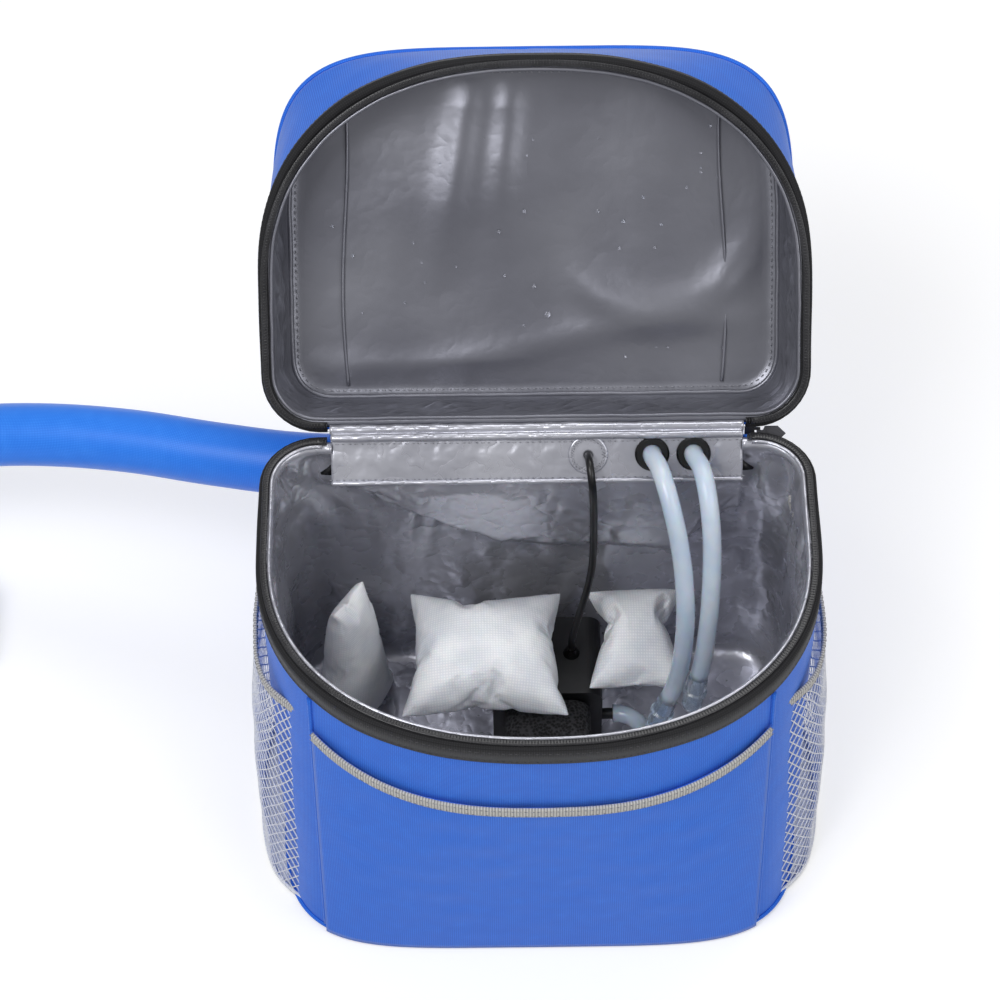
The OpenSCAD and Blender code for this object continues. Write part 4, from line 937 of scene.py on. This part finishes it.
def build_front_pocket(look):
    """The flat pocket across the front, sewn in at three sides, with a ribbed ribbon on its edge."""
    f = FINISHES
    xs = np.linspace(-SEAM_X + 0.5, SEAM_X - 0.5, 110)
    shares = np.linspace(0, 1, 46)
    levels = np.linspace(1, 168, 60)
    fronts = np.array([[front_y(x, z, 1.3) for x in xs] for z in levels])
    rows = []
    for s in shares:
        row = []
        for i, x in enumerate(xs):
            z = 1.5 + (pocket_edge(x) - 1.5) * s
            slack = 0.55 * waves(x * 1.0, z * 0.6, 70, 51) + 0.25 * waves(x, z * 1.5, 27, 52)
            hold = min(1, (SEAM_X - abs(x)) / 12) * math.sin(math.pi * min(s, 0.72) / 0.72 * 0.5 + 0.001)
            row.append((x, np.interp(z, levels, fronts[:, i]) - max(0.0, (0.5 + slack) * hold), z))
        rows.append(row)
    panel = cloth("front_pocket_fabric", rows, f["oxford"])
    solidify(panel, 0.9, 1.0)
    finished(panel, "bag", "blue_polyester", "front_pocket")
    path = np.array([(x, np.interp(pocket_edge(x) - 3.5, levels, fronts[:, i]) - 1.25, pocket_edge(x) - 3.4)
                     for i, x in enumerate(xs)])
    across = beside(path)
    ribbon = sweep("front_pocket_ribbon", path, across, upright(path),
                   rounded(2.0, BINDING, 0.8), f["grosgrain"])
    finished(ribbon, "bag", "grosgrain_binding", "front_pocket_binding")
    rows = [path + across * 1.12 + [0, 0, h] for h in (-2.2, 2.2)]
    row_of("front_pocket_stitches", rows, 3.2, (0.4, 0.4, 2.1), f["thread_grey"], "bag", "grosgrain_binding")


def net_path(points, side):
    """A net's plan line on one side, as 200 even points, and its length."""
    line = smooth([(x, y, 0) for x, y in points], 1.5)[:, :2]
    run = np.r_[0, np.cumsum(np.linalg.norm(np.diff(line, axis=0), axis=1))]
    at = np.linspace(0, run[-1], 200)
    return np.c_[side * np.interp(at, run, line[:, 0]), np.interp(at, run, line[:, 1])], run[-1]


def build_nets(sizes):
    """The knitted side pockets: a lattice of strands, a hem at the floor and a ribbed ribbon on top."""
    f = FINISHES
    for side, word in ((-1, "left"), (1, "right")):
        low, low_length = net_path(NET_LOW, side)
        high = net_path(NET_HIGH, side)[0]
        cell = sizes.net_cell * 1000
        cols = int(low_length / (cell * 0.62))
        rows = int((MOUTH_Z - NET_Z) / (cell * 0.82))
        at = np.linspace(0, 199, cols + 1)
        points, index = [], {}
        for j in range(rows + 1):
            v = j / rows
            z = NET_Z + v * (MOUTH_Z - NET_Z)
            for i in range(cols + 1):
                if (i + j) % 2:
                    continue
                u = i / cols
                a, b = [np.array([np.interp(at[i], range(200), line[:, k]) for k in (0, 1)]) for line in (low, high)]
                p = a + (b - a) * v
                # the net hangs in soft folds between its seams
                bulge = math.sin(math.pi * u) * (1.2 * math.sin(math.pi * v) - 2.4 * v ** 3
                                                 + 1.1 * float(waves(u * 130, z, 60, 61)))
                pull = float(waves(u * 130, z, 34, 62 + side)) * 0.5
                index[i, j] = len(points)
                sag = -4.0 * math.sin(math.pi * u) * v ** 2
                points.append((p[0] + side * bulge, p[1] + pull, z + sag + 0.6 * float(waves(u * 130, z, 45, 64))))
        edges = [(k, index[i + 1, j + s]) for (i, j), k in index.items() for s in (-1, 1) if (i + 1, j + s) in index]
        net = grow(word + "_net", points, edges, net_tree(), {"Radius": sizes.net_strand / 2, "Material": f["net"]})
        finished(net, "bag", "white_mesh", word + "_mesh_pocket")
        # hem tape along the floor and a plain floor of the same knit
        base = np.c_[low, np.full(200, NET_Z + 0.9)][::2]
        rise = upright(base)
        hem = sweep(word + "_net_hem", base, beside(base), rise, rounded(1.4, 3.4, 0.5), f["net"])
        finished(hem, "bag", "white_mesh")
        inner = np.c_[np.full(100, side * 118.0), base[:, 1], np.full(100, NET_Z + 0.2)]
        floor = cloth(word + "_net_floor", [base - [0, 0, 0.7], (base + inner) / 2, inner], f["net"], flip=side < 0)
        solidify(floor, 0.6)
        finished(floor, "bag", "white_mesh")
        top = np.c_[high, np.full(200, MOUTH_Z + BINDING / 2 + 0.2)][::2]
        wave = waves(np.arange(100) * 1.3, 0, 26, 66 + side)
        hang = np.sin(np.pi * np.linspace(0, 1, 100))
        top = top + np.c_[side * (0.5 * wave - 2.4 * hang), np.zeros(100),
                          0.7 * waves(np.arange(100) * 1.3, 0, 50, 69) - 4.0 * hang]
        out = beside(top)
        ribbon = sweep(word + "_net_ribbon", top, out, rise, rounded(1.8, BINDING, 0.7), f["grosgrain"])
        finished(ribbon, "bag", "grosgrain_binding", word + "_pocket_binding")
        lines = [top + out * s * 1.0 + [0, 0, h] for h in (-2.2, 2.2) for s in (-1, 1)]
        row_of(word + "_net_ribbon_stitches", lines, 3.2, (0.4, 0.4, 2.1), f["thread_grey"], "bag",
               "grosgrain_binding")


# ---------------------------------------------------------------- zip and hinge strip


def zip_run(lid, z, inset):
    """The zip's open run: round the front from one end of the hinge strip to the other."""
    loop = section(lid, z, inset, 720)
    loop = np.roll(loop, 360, axis=0)
    back = loop[:, 1].max() - 30
    return np.array([p for p in loop if not (abs(p[0]) < ZIP_END and p[1] > back)])


def build_zip(look):
    f = FINISHES
    for lid, word, z0, body in ((False, "body", 188.0, "bag"), (True, "lid", 3.0, "lid")):
        path = zip_run(lid, z0 + 6, -0.62)[::4]
        path[:, 2] = z0 + 6
        out = beside(path)
        path = path + out * (0.25 * waves(np.arange(len(path)) * 3.0, 0, 40, 71))[:, None]
        tall = 1 if not lid else -1
        strap = [(0.65, -6 * tall), (0.75, 5.6 * tall), (0.2, 6.5 * tall), (-1.4, 6.75 * tall), (-4.6, 6.75 * tall),
                 (-4.6, 6.15 * tall), (-1.6, 6.1 * tall), (-0.5, 5.4 * tall), (-0.45, -6 * tall)]
        tape = sweep(word + "_zip_woven_tape", path, out, upright(path), strap, f["zip_tape"], lid=lid)
        finished(tape, body, "zip_tape", word + "_zip_tape")
        line = path + out * 0.7
        lines = [line + [0, 0, h] for h in (-4.4, 3.0)]
        row_of(word + "_zip_stitches", lines, 3.2, (0.35, 0.35, 2.1), f["thread_dark"], body, "zip_tape", lid)
        coil_z = 201.35 if not lid else 1.65
        teeth = zip_run(lid, coil_z, 2.4)
        row_of(word + "_zip_teeth", [teeth], 1.5, (3.6, 2.6, 0.95), f["coil"], body, "zip_coil", lid)
        core = zip_run(lid, coil_z, 2.4)[::4]
        cord = sweep(word + "_zip_core", core, beside(core), upright(core), rounded(3.3, 1.5, 0.5),
                     f["coil"], lid=lid)
        finished(cord, body, "zip_coil", word + "_zip_coil")


def build_hinge(look):
    """The strip between body and lid: quilted film in front, fabric behind, and the slack film below it."""
    f = FINISHES
    xs = np.linspace(-104.5, 104.5, 150)
    hang_x = [-100, -80, -60, -40, -19, 10, 33, 70, 100]
    hang_z = [176, 166, 153, 139, 127, 121, 120, 116, 150]
    hang_out = [1.0, 6.0, 9.5, 10.5, 10.5, 8.0, 7.0, 9.0, 3.0]
    rows = []
    for s in np.linspace(0, 1, 16):
        base = STRIP_TOP + (STRIP_FOOT - STRIP_TOP) * s
        near = np.min([np.abs(xs - x) for x in (SUPPLY_X, RETURN_X, CABLE_X)], axis=0)
        calm = np.clip((near - 10) / 8, 0, 1)
        folds = 0.45 * waves(xs, s * 26, 30, 81) + 0.3 * creases(xs, s * 26, 13, 82)
        puff = calm * (0.6 * math.sin(math.pi * s) + folds)
        off = 1.2 + np.clip(puff, -0.3, 1.4) * math.sin(math.pi * s)
        rows.append(np.c_[xs, base[1] + off * OUT_STRIP[1], base[2] + off * OUT_STRIP[2]])
    foot = rows[-1]
    bottom = np.interp(xs, hang_x, hang_z)
    out = np.interp(xs, hang_x, hang_out)
    for s in np.linspace(0, 1, 34)[1:]:
        ripple = waves(xs * 1.2, s * 40, 46, 83) * 1.6 + creases(xs, s * 50, 24, 84) * 0.9
        drop = foot[:, 2] + (bottom - foot[:, 2]) * min(s * 1.12, 1.0)
        wall = foot[:, 1] + (84.6 - foot[:, 1]) * s
        belly = out * math.sin(math.pi * min(s ** 1.5, 1.0)) ** 0.8
        tuck = max(0.0, (s - 0.9) / 0.1)
        y = wall - belly + ripple * math.sin(math.pi * s)
        y = np.maximum(y, 74.2)
        rows.append(np.c_[xs, y + (84.6 - y) * tuck ** 2, drop - 4 * tuck])
    film = cloth("hinge_strip_film", rows, f["liner"], flip=True)
    solidify(film, 0.7)
    finished(film, "bag", "silver_lining", "hinge_strip")
    # rolled hems along the fold and the foot of the strip
    for name, at, off, r in (("hinge_top_hem", STRIP_TOP - 2.4 * UP_STRIP, 1.6, 2.1),
                             ("hinge_foot_hem", STRIP_FOOT, 1.3, 1.3)):
        line = np.c_[xs, np.full(150, at[1]), np.full(150, at[2])] + off * OUT_STRIP
        line += np.outer(0.35 * waves(xs, 0, 22, 85), OUT_STRIP)
        finished(tube(name, line, r + 0.25 * waves(xs, 0, 13, 86), f["liner"], 12), "bag", "silver_lining")
    # the film's fold, which bridges the strip and the lid's rim
    long = np.linspace(-105, 105, 150)
    line = np.c_[long, np.full(150, 96.0), 202.3 + 0.3 * waves(long, 0, 30, 88)]
    finished(tube("hinge_fold_hem", line, 2.5 + 0.25 * waves(long, 0, 16, 89), f["liner"], 14), "bag", "silver_lining")
    lines = []
    for down in (5.6, 24.2):
        at = STRIP_TOP - down * UP_STRIP + 1.75 * OUT_STRIP
        lines.append(np.c_[xs, np.full(150, at[1]), np.full(150, at[2])])
    row_of("hinge_strip_stitches", lines, 3.2, (0.45, 0.45, 2.1), f["thread_grey"], "bag", "silver_lining")
    # the outer fabric behind goes straight up and then follows the strip to the fold
    back = [(91.2, 176.5), (91.4, 184), (91.4, 192), (91.7, 195.6), (93.0, 197.6), (95.2, 200.0), (96.2, 201.0)]
    rows = []
    for y, z in back:
        sway = 0.3 * waves(xs, z, 40, 87)
        rows.append(np.c_[np.linspace(-105, 105, 150), y + sway, np.full(150, z)])
    flap = cloth("hinge_outer_fabric", rows, f["oxford"], flip=True)
    solidify(flap, 0.8)
    finished(flap, "bag", "blue_polyester", "hinge_outer_flap")
    # black end tabs of the zip
    for side, word in ((-1, "left"), (1, "right")):
        shape = [(0, -9), (1, 1.6), (3, -2.4), (6, -5.4), (10, -8), (9.4, -9), (5, -9.4)]
        middle = off_strip(side * 100.3, 0)
        path = np.array([middle, middle]) + np.outer([-0.6, 0.6], OUT_STRIP)
        across = np.tile([side * 1.0, 0, 0], (2, 1))
        up = np.tile(UP_STRIP, (2, 1))
        tab = sweep(word + "_zip_end_tab", path, across, up, shape, f["rubber"])
        finished(tab, "bag", "zip_tape", *(["zip_end_tabs"] if side < 0 else []))
    # stitched round patch where the cable comes through
    centre, right = np.array(off_strip(CABLE_X, 1.2)), np.array([1.0, 0, 0])
    turn = np.linspace(0, 2 * np.pi, 48, endpoint=False)
    rows = []
    for r, h in ((10, 0.0), (10.1, 0.5), (9.6, 0.95), (8.7, 0.8), (6, 1.0), (3, 1.15), (2.1, 1.2), (2.1, 0.2)):
        rows.append(centre + r * (np.cos(turn)[:, None] * right + np.sin(turn)[:, None] * UP_STRIP) + h * OUT_STRIP)
    patch = cloth("cable_patch_film", rows, f["liner"], closed=True)
    weld(patch, True)
    finished(patch, "bag", "patch_fabric", "cable_patch")
    zigzag = []
    for i in range(57):
        a, r = 2 * math.pi * i / 56, 8.9 if i % 2 else 7.3
        zigzag.append(centre + r * (math.cos(a) * right + math.sin(a) * UP_STRIP) + 1.0 * OUT_STRIP)
    row_of("cable_patch_stitches", [zigzag], 1.0, (0.45, 0.45, 1.1), f["thread_grey"], "bag", "patch_fabric")


# ---------------------------------------------------------------- ice packs, cover and small parts


def blown_pack(name, width, length, thick, taper):
    """Two flat sheets sealed round the edge and blown up as cloth, then brought to the pack's size."""
    n = 40
    us = np.linspace(-1, 1, n + 1)
    points, faces, index = [], [], {}
    for layer in (1, -1):
        for j, v in enumerate(us):
            for i, u in enumerate(us):
                rim = i in (0, n) or j in (0, n)
                key = (i, j, 0 if rim else layer)
                if key not in index:
                    swell = ((1 - u ** 4) * (1 - v ** 4)) ** 0.5
                    index[key] = len(points)
                    points.append((u * width / 2, v * length / 2, 0 if rim else layer * (0.6 + 0.02 * thick * swell)))
    for layer in (1, -1):
        for j in range(n):
            for i in range(n):
                ring = []
                for a, b in ((i, j), (i + 1, j), (i + 1, j + 1), (i, j + 1)):
                    rim = a in (0, n) or b in (0, n)
                    ring.append(index[a, b, 0 if rim else layer])
                faces.append(ring if layer > 0 else ring[::-1])
    rest = np.array(points)
    mesh = bpy.data.meshes.new(name + "_cut")
    mesh.from_pydata((rest / 1000).tolist(), [], faces)
    soft = bpy.data.objects.new(name + "_cut", mesh)
    bpy.context.scene.collection.objects.link(soft)
    swell = soft.modifiers.new("swell", "CLOTH")
    s = swell.settings
    s.use_pressure, s.uniform_pressure_force, s.quality, s.mass = True, 45.0, 6, 0.012
    s.tension_stiffness = s.compression_stiffness = 15.0
    s.bending_stiffness = 0.06
    s.effector_weights.gravity = 0.0
    swell.collision_settings.use_collision = False
    swell.collision_settings.use_self_collision = False
    scene = bpy.context.scene
    scene.frame_start, scene.frame_end = 1, 22
    swell.point_cache.frame_start, swell.point_cache.frame_end = 1, 22
    for step in range(1, 21):
        scene.frame_set(step)
    graph = bpy.context.evaluated_depsgraph_get()
    blown = soft.evaluated_get(graph).to_mesh()
    shape = np.empty(len(rest) * 3)
    blown.vertices.foreach_get("co", shape)
    shape = shape.reshape(-1, 3) * 1000
    scene.frame_set(1)
    bpy.data.objects.remove(soft)
    bpy.data.meshes.remove(mesh)
    shape -= (shape.max(0) + shape.min(0)) / 2
    shape *= np.array([width, length, thick]) / (shape.max(0) - shape.min(0))
    # the sealed edge stays flat and ribbed by the sealing bar
    u, v = rest[:, 0] / (width / 2), rest[:, 1] / (length / 2)
    edge = np.clip((1 - np.maximum(np.abs(u), np.abs(v))) / 0.10, 0, 1)
    shape[:, 2] = shape[:, 2] * (0.2 + 0.8 * edge ** 0.6)
    shape[:, 2] += (1 - edge) * 0.8 * waves(shape[:, 0], shape[:, 1], 26, len(name))
    up = (v + 1) / 2
    shape[:, 0] *= 1 - taper * up ** 1.25
    shape[:, 2] *= 1 - taper * 0.6 * up ** 1.5
    return shape, faces, rest


def build_packs(look):
    for name, (centre, turn, width, length, thick, taper) in PACKS.items():
        shape, faces, flat = blown_pack(name, width, length, thick, taper)
        spin = [Matrix.Rotation(math.radians(a), 4, axis) for a, axis in zip(turn, "XYZ")]
        matrix = Matrix.Translation(Vector(centre) / 1000) @ spin[2] @ spin[1] @ spin[0]
        uvs = [flat[k][:2] for ring in faces for k in ring]
        pack = piece(name + "_pouch", shape, faces, FINISHES["pack"], uvs)
        pack.data.transform(matrix)
        level = pack.modifiers.new("round", "SUBSURF")
        level.levels = level.render_levels = 1
        body = name if name in frame["bodies"] else "bag"
        finished(pack, body, "ice_pack_cloth", name)


def build_rear_cover(look):
    """The padded fabric cover over the lines at the back."""
    outline = np.array([(92.5, 190), (97.0, 195.2), (101.5, 193.6), (113, 184.5), (125, 173.8), (132.5, 166),
                        (135.4, 158.5), (136, 148), (136, 132), (135.4, 122.5), (132.6, 117), (127, 114.4),
                        (115, 114), (98, 114), (92.6, 115.6)])
    closed = smooth([(y, z, 0) for y, z in np.vstack([outline, outline[:1]])], 3.0)[:-1, :2]
    middle = closed.mean(0)
    rows = []
    for x, scale in ((-9.9, 0.03), (-10.0, 0.5), (-9.9, 0.86), (-9.2, 0.945), (-7.5, 0.985), (-5, 1.0)):
        rows.append(np.c_[np.full(len(closed), x), middle + (closed - middle) * scale])
    for x in np.linspace(0, 90, 24):
        puff = 0.7 * waves(x, np.arange(len(closed)) * 3.0, 50, 91) - 0.4
        ring = middle + (closed - middle) * (1 + (puff / 40)[:, None])
        ring[:, 0] = np.maximum(ring[:, 0], 92.4)
        rows.append(np.c_[np.full(len(closed), x), ring])
    for x, scale in ((93, 1.0), (95.5, 0.985), (97.2, 0.945), (97.9, 0.86), (98.0, 0.5), (97.9, 0.03)):
        rows.append(np.c_[np.full(len(closed), x), middle + (closed - middle) * scale])
    cover = cloth("rear_cover_fabric", rows, FINISHES["oxford"], closed=True, ends=True)
    weld(cover, True)
    finished(cover, "bag", "blue_polyester", "rear_tube_cover")
    for i, x in enumerate((-7.0, 95.0)):
        ring = np.c_[np.full(len(closed), x), middle + (closed - middle) * 1.0]
        ring = ring[ring[:, 1] > 94]
        name = ("left", "right")[i] + "_cover_piping"
        finished(tube(name, ring[1:-1], 1.1, FINISHES["oxford"], 8), "bag", "blue_polyester")


def build_small_parts(look):
    """The pump's sponge and the button's spring, which the CAD only stands in for."""
    turn = np.linspace(0, 2 * np.pi, 48, endpoint=False)
    rows = []
    square = np.array([(23 * np.sign(math.cos(a)) * abs(math.cos(a)) ** 0.42,
                        22 * np.sign(math.sin(a)) * abs(math.sin(a)) ** 0.42) for a in turn])
    for y, k in ((-2.3, 0.02), (-2.2, 0.6), (-2.0, 0.9), (-0.6, 0.97), (2.5, 1.0), (18, 1.0), (20.6, 0.98),
                 (21.6, 0.93)):
        rows.append(np.c_[5 + square[:, 0] * k, np.full(48, y), 39.7 + square[:, 1] * k])
    for y, r in ((21.7, 15.6), (21.0, 15.3), (7.0, 15.3), (6.2, 14.6), (6.0, 0.4)):
        rows.append(np.c_[5 + r * np.cos(turn), np.full(48, y), 39.7 + r * np.sin(turn)])
    sponge = cloth("pump_sponge", rows, FINISHES["sponge"], closed=True, ends=True)
    weld(sponge, True)
    finished(sponge, "filter_sponge", "filter_sponge", "filter_sponge")
    low, high = [np.array(c) * 1000 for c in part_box("button_spring")]
    middle, wire = (low + high) / 2, 0.5
    steps = np.linspace(0, 4.0, 4 * 28)
    line = [(middle[0] + 4 * math.cos(2 * math.pi * t), middle[1] + 4 * math.sin(2 * math.pi * t),
             low[2] + wire + (high[2] - low[2] - 2 * wire) * t / 4.0) for t in steps]
    spring = tube("button_coil_spring", line, wire, FINISHES["steel"], 10)
    finished(spring, "bag", "spring_steel", "button_spring")
    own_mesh(spring)


def build_drops(look):
    """Condensed drops on the lid's film."""
    pick = np.random.RandomState(7)
    points, faces = [], []
    for _ in range(46):
        x, y = pick.uniform(-105, 105), pick.uniform(-150, -25)
        r = pick.choice([0.6, 0.8, 1.0, 1.5], p=[0.45, 0.3, 0.17, 0.08])
        start_at = len(points)
        for ring in range(4):
            a = math.pi / 2 * ring / 3
            for c in range(8):
                b = 2 * math.pi * c / 8
                points.append((x + r * math.cos(a) * math.cos(b), y + 1.2 * r * math.cos(a) * math.sin(b),
                               47.2 - 0.7 * r * math.sin(a)))
        for ring in range(3):
            for c in range(8):
                d = (c + 1) % 8
                i = start_at + ring * 8
                faces.append([i + c, i + 8 + c, i + 8 + d, i + d])
    drops = piece("lid_water_drops", points, faces, FINISHES["water"], lid=True)
    finished(drops, "lid", "silver_lining")


def finish_frame(look):
    """Materials for the CAD nodes that stay as they are."""
    f = FINISHES
    given = {
        "supply_grommet": "rubber", "return_grommet": "rubber", "supply_connector": "clear", "return_nozzle": "clear",
        "pump_housing": "abs_black", "pump_cover": "abs_black", "impeller": "abs_black", "strainer": "abs_black",
        "impeller_shaft": "ceramic", "suction_cups": "rubber", "cable_gland": "rubber", "power_inlet": "abs_black",
        "coupling_body": "abs_white", "release_button": "abs_blue", "zip_slider": "zinc", "zip_pull": "tpu",
    }
    for name, obj in frame["nodes"].items():
        if obj.type != "MESH" or obj.hide_render:
            continue
        finish = f[given.get(name, "board")]
        for slot in obj.material_slots:
            slot.material = finish
        if not obj.material_slots:
            raise RuntimeError(name + " has no material slot")


# ---------------------------------------------------------------- properties


class BagLook(bpy.types.PropertyGroup):
    """Colours of the bag, as sRGB hex values."""
    fabric_dark: bpy.props.StringProperty(name="Fabric, dark", description="Darker thread of the outer fabric",
                                          default="#1B62D2")
    fabric_light: bpy.props.StringProperty(name="Fabric, light", description="Lighter thread of the outer fabric",
                                           default="#3584F0")
    # The film's two tones are painted lighter than the film itself: painted light for the inside of the deep box
    liner_dark: bpy.props.StringProperty(name="Film, dark", description="Darker tone of the silver film",
                                         default="#A9AAB5")
    liner_light: bpy.props.StringProperty(name="Film, light", description="Lighter tone of the silver film",
                                          default="#CBCCD5")
    pack_dark: bpy.props.StringProperty(name="Pack, dark", description="Wet tone of the ice packs",
                                        default="#D5D9E0")
    pack_light: bpy.props.StringProperty(name="Pack, light", description="Dry tone of the ice packs",
                                         default="#F6F7F9")


class LineSizes(bpy.types.PropertyGroup):
    """Sizes of the lines and the net."""
    tube_diameter: bpy.props.FloatProperty(name="Water tube", description="Outer diameter of the silicone tubes",
                                           default=0.0095, min=0.006, max=0.012, subtype="DISTANCE", unit="LENGTH")
    cable_diameter: bpy.props.FloatProperty(name="Cable", description="Outer diameter of the power cable",
                                            default=0.004, min=0.003, max=0.006, subtype="DISTANCE", unit="LENGTH")
    hose_diameter: bpy.props.FloatProperty(name="Hose", description="Outer diameter of the sleeved hose",
                                           default=0.034, min=0.025, max=0.04, subtype="DISTANCE", unit="LENGTH")
    net_cell: bpy.props.FloatProperty(name="Net cell", description="Width of one opening of the side nets",
                                      default=0.0050, min=0.003, max=0.012, subtype="DISTANCE", unit="LENGTH")
    net_strand: bpy.props.FloatProperty(name="Net strand", description="Thickness of the net's strands",
                                        default=0.0008, min=0.0003, max=0.002, subtype="DISTANCE", unit="LENGTH")


class StageLook(bpy.types.PropertyGroup):
    """Light of the stage."""
    key_light: bpy.props.FloatProperty(name="Key lamp", description="Power of the key softbox", default=17.0,
                                       min=0.0, unit="POWER")
    world_light: bpy.props.FloatProperty(name="Room light", description="Strength of the even room light",
                                         default=0.42, min=0.0, max=2.0)
    floor_lift: bpy.props.FloatProperty(name="Floor lift", description="White added to the floor as it is seen",
                                        default=0.36, min=0.0, max=1.0)


# ---------------------------------------------------------------- operators


class BAG_OT_finishes(bpy.types.Operator):
    """Makes every material of the bag"""
    bl_idname = "therapy_bag.finishes"
    bl_label = "Finishes"

    def execute(self, context):
        make_finishes(context.scene.bag_look)
        return {"FINISHED"}


class BAG_OT_stage(bpy.types.Operator):
    """Makes the floor, the lamps and the camera"""
    bl_idname = "therapy_bag.stage"
    bl_label = "Stage"

    def execute(self, context):
        build_stage(context.scene.bag_stage)
        return {"FINISHED"}


class BAG_OT_lines(bpy.types.Operator):
    """Makes the water tubes and the power cable"""
    bl_idname = "therapy_bag.lines"
    bl_label = "Tubes and cable"

    def execute(self, context):
        build_lines(context.scene.bag_lines)
        return {"FINISHED"}


class BAG_OT_hose(bpy.types.Operator):
    """Makes the sleeved hose with its cuff"""
    bl_idname = "therapy_bag.hose"
    bl_label = "Hose"

    def execute(self, context):
        build_hose(context.scene.bag_lines)
        return {"FINISHED"}


class BAG_OT_shell(bpy.types.Operator):
    """Makes the bag's outer fabric and its piping"""
    bl_idname = "therapy_bag.shell"
    bl_label = "Outer fabric"

    def execute(self, context):
        build_shell(context.scene.bag_look)
        return {"FINISHED"}


class BAG_OT_liner(bpy.types.Operator):
    """Makes the silver film inside the bag"""
    bl_idname = "therapy_bag.liner"
    bl_label = "Inner film"

    def execute(self, context):
        build_liner(context.scene.bag_look)
        return {"FINISHED"}


class BAG_OT_lid(bpy.types.Operator):
    """Makes the lid's fabric, film and piping"""
    bl_idname = "therapy_bag.lid"
    bl_label = "Lid"

    def execute(self, context):
        build_lid(context.scene.bag_look)
        return {"FINISHED"}


class BAG_OT_pocket(bpy.types.Operator):
    """Makes the front pocket and its ribbon"""
    bl_idname = "therapy_bag.front_pocket"
    bl_label = "Front pocket"

    def execute(self, context):
        build_front_pocket(context.scene.bag_look)
        return {"FINISHED"}


class BAG_OT_nets(bpy.types.Operator):
    """Makes the two side nets and their ribbons"""
    bl_idname = "therapy_bag.nets"
    bl_label = "Side nets"

    def execute(self, context):
        build_nets(context.scene.bag_lines)
        return {"FINISHED"}


class BAG_OT_zip(bpy.types.Operator):
    """Makes the zip's tapes, teeth and stitches"""
    bl_idname = "therapy_bag.zip"
    bl_label = "Zip"

    def execute(self, context):
        build_zip(context.scene.bag_look)
        return {"FINISHED"}


class BAG_OT_hinge(bpy.types.Operator):
    """Makes the hinge strip, its slack film, end tabs and cable patch"""
    bl_idname = "therapy_bag.hinge"
    bl_label = "Hinge strip"

    def execute(self, context):
        build_hinge(context.scene.bag_look)
        return {"FINISHED"}


class BAG_OT_packs(bpy.types.Operator):
    """Blows up the ice packs"""
    bl_idname = "therapy_bag.packs"
    bl_label = "Ice packs"

    def execute(self, context):
        build_packs(context.scene.bag_look)
        return {"FINISHED"}


class BAG_OT_cover(bpy.types.Operator):
    """Makes the padded cover at the back"""
    bl_idname = "therapy_bag.rear_cover"
    bl_label = "Rear cover"

    def execute(self, context):
        build_rear_cover(context.scene.bag_look)
        return {"FINISHED"}


class BAG_OT_small(bpy.types.Operator):
    """Makes the pump's sponge, the button's spring and the drops"""
    bl_idname = "therapy_bag.small_parts"
    bl_label = "Small parts"

    def execute(self, context):
        build_small_parts(context.scene.bag_look)
        build_drops(context.scene.bag_look)
        return {"FINISHED"}


class BAG_OT_frame(bpy.types.Operator):
    """Gives the moulded parts their materials"""
    bl_idname = "therapy_bag.moulded_parts"
    bl_label = "Moulded parts"

    def execute(self, context):
        finish_frame(context.scene.bag_look)
        return {"FINISHED"}


STEPS = ["stage", "finishes", "lines", "hose", "shell", "liner", "lid", "front_pocket", "nets", "zip", "hinge",
         "packs", "rear_cover", "small_parts", "moulded_parts"]


class BAG_PT_panel(bpy.types.Panel):
    """Every step of the bag"""
    bl_idname = "BAG_PT_panel"
    bl_label = "Therapy Bag"
    bl_space_type = "VIEW_3D"
    bl_region_type = "UI"
    bl_category = "Therapy Bag"

    def draw(self, context):
        for step in STEPS:
            self.layout.operator("therapy_bag." + step)


CLASSES = [BagLook, LineSizes, StageLook, BAG_OT_finishes, BAG_OT_stage, BAG_OT_lines, BAG_OT_hose, BAG_OT_shell,
           BAG_OT_liner, BAG_OT_lid, BAG_OT_pocket, BAG_OT_nets, BAG_OT_zip, BAG_OT_hinge, BAG_OT_packs,
           BAG_OT_cover, BAG_OT_small, BAG_OT_frame, BAG_PT_panel]


def register():
    for item in CLASSES:
        bpy.utils.register_class(item)
    bpy.types.Scene.bag_look = bpy.props.PointerProperty(type=BagLook)
    bpy.types.Scene.bag_lines = bpy.props.PointerProperty(type=LineSizes)
    bpy.types.Scene.bag_stage = bpy.props.PointerProperty(type=StageLook)


def unregister():
    del bpy.types.Scene.bag_look, bpy.types.Scene.bag_lines, bpy.types.Scene.bag_stage
    for item in reversed(CLASSES):
        bpy.utils.unregister_class(item)


def main():
    register()
    for step in STEPS:
        getattr(bpy.ops.therapy_bag, step)()


if __name__ == "__main__":
    main()
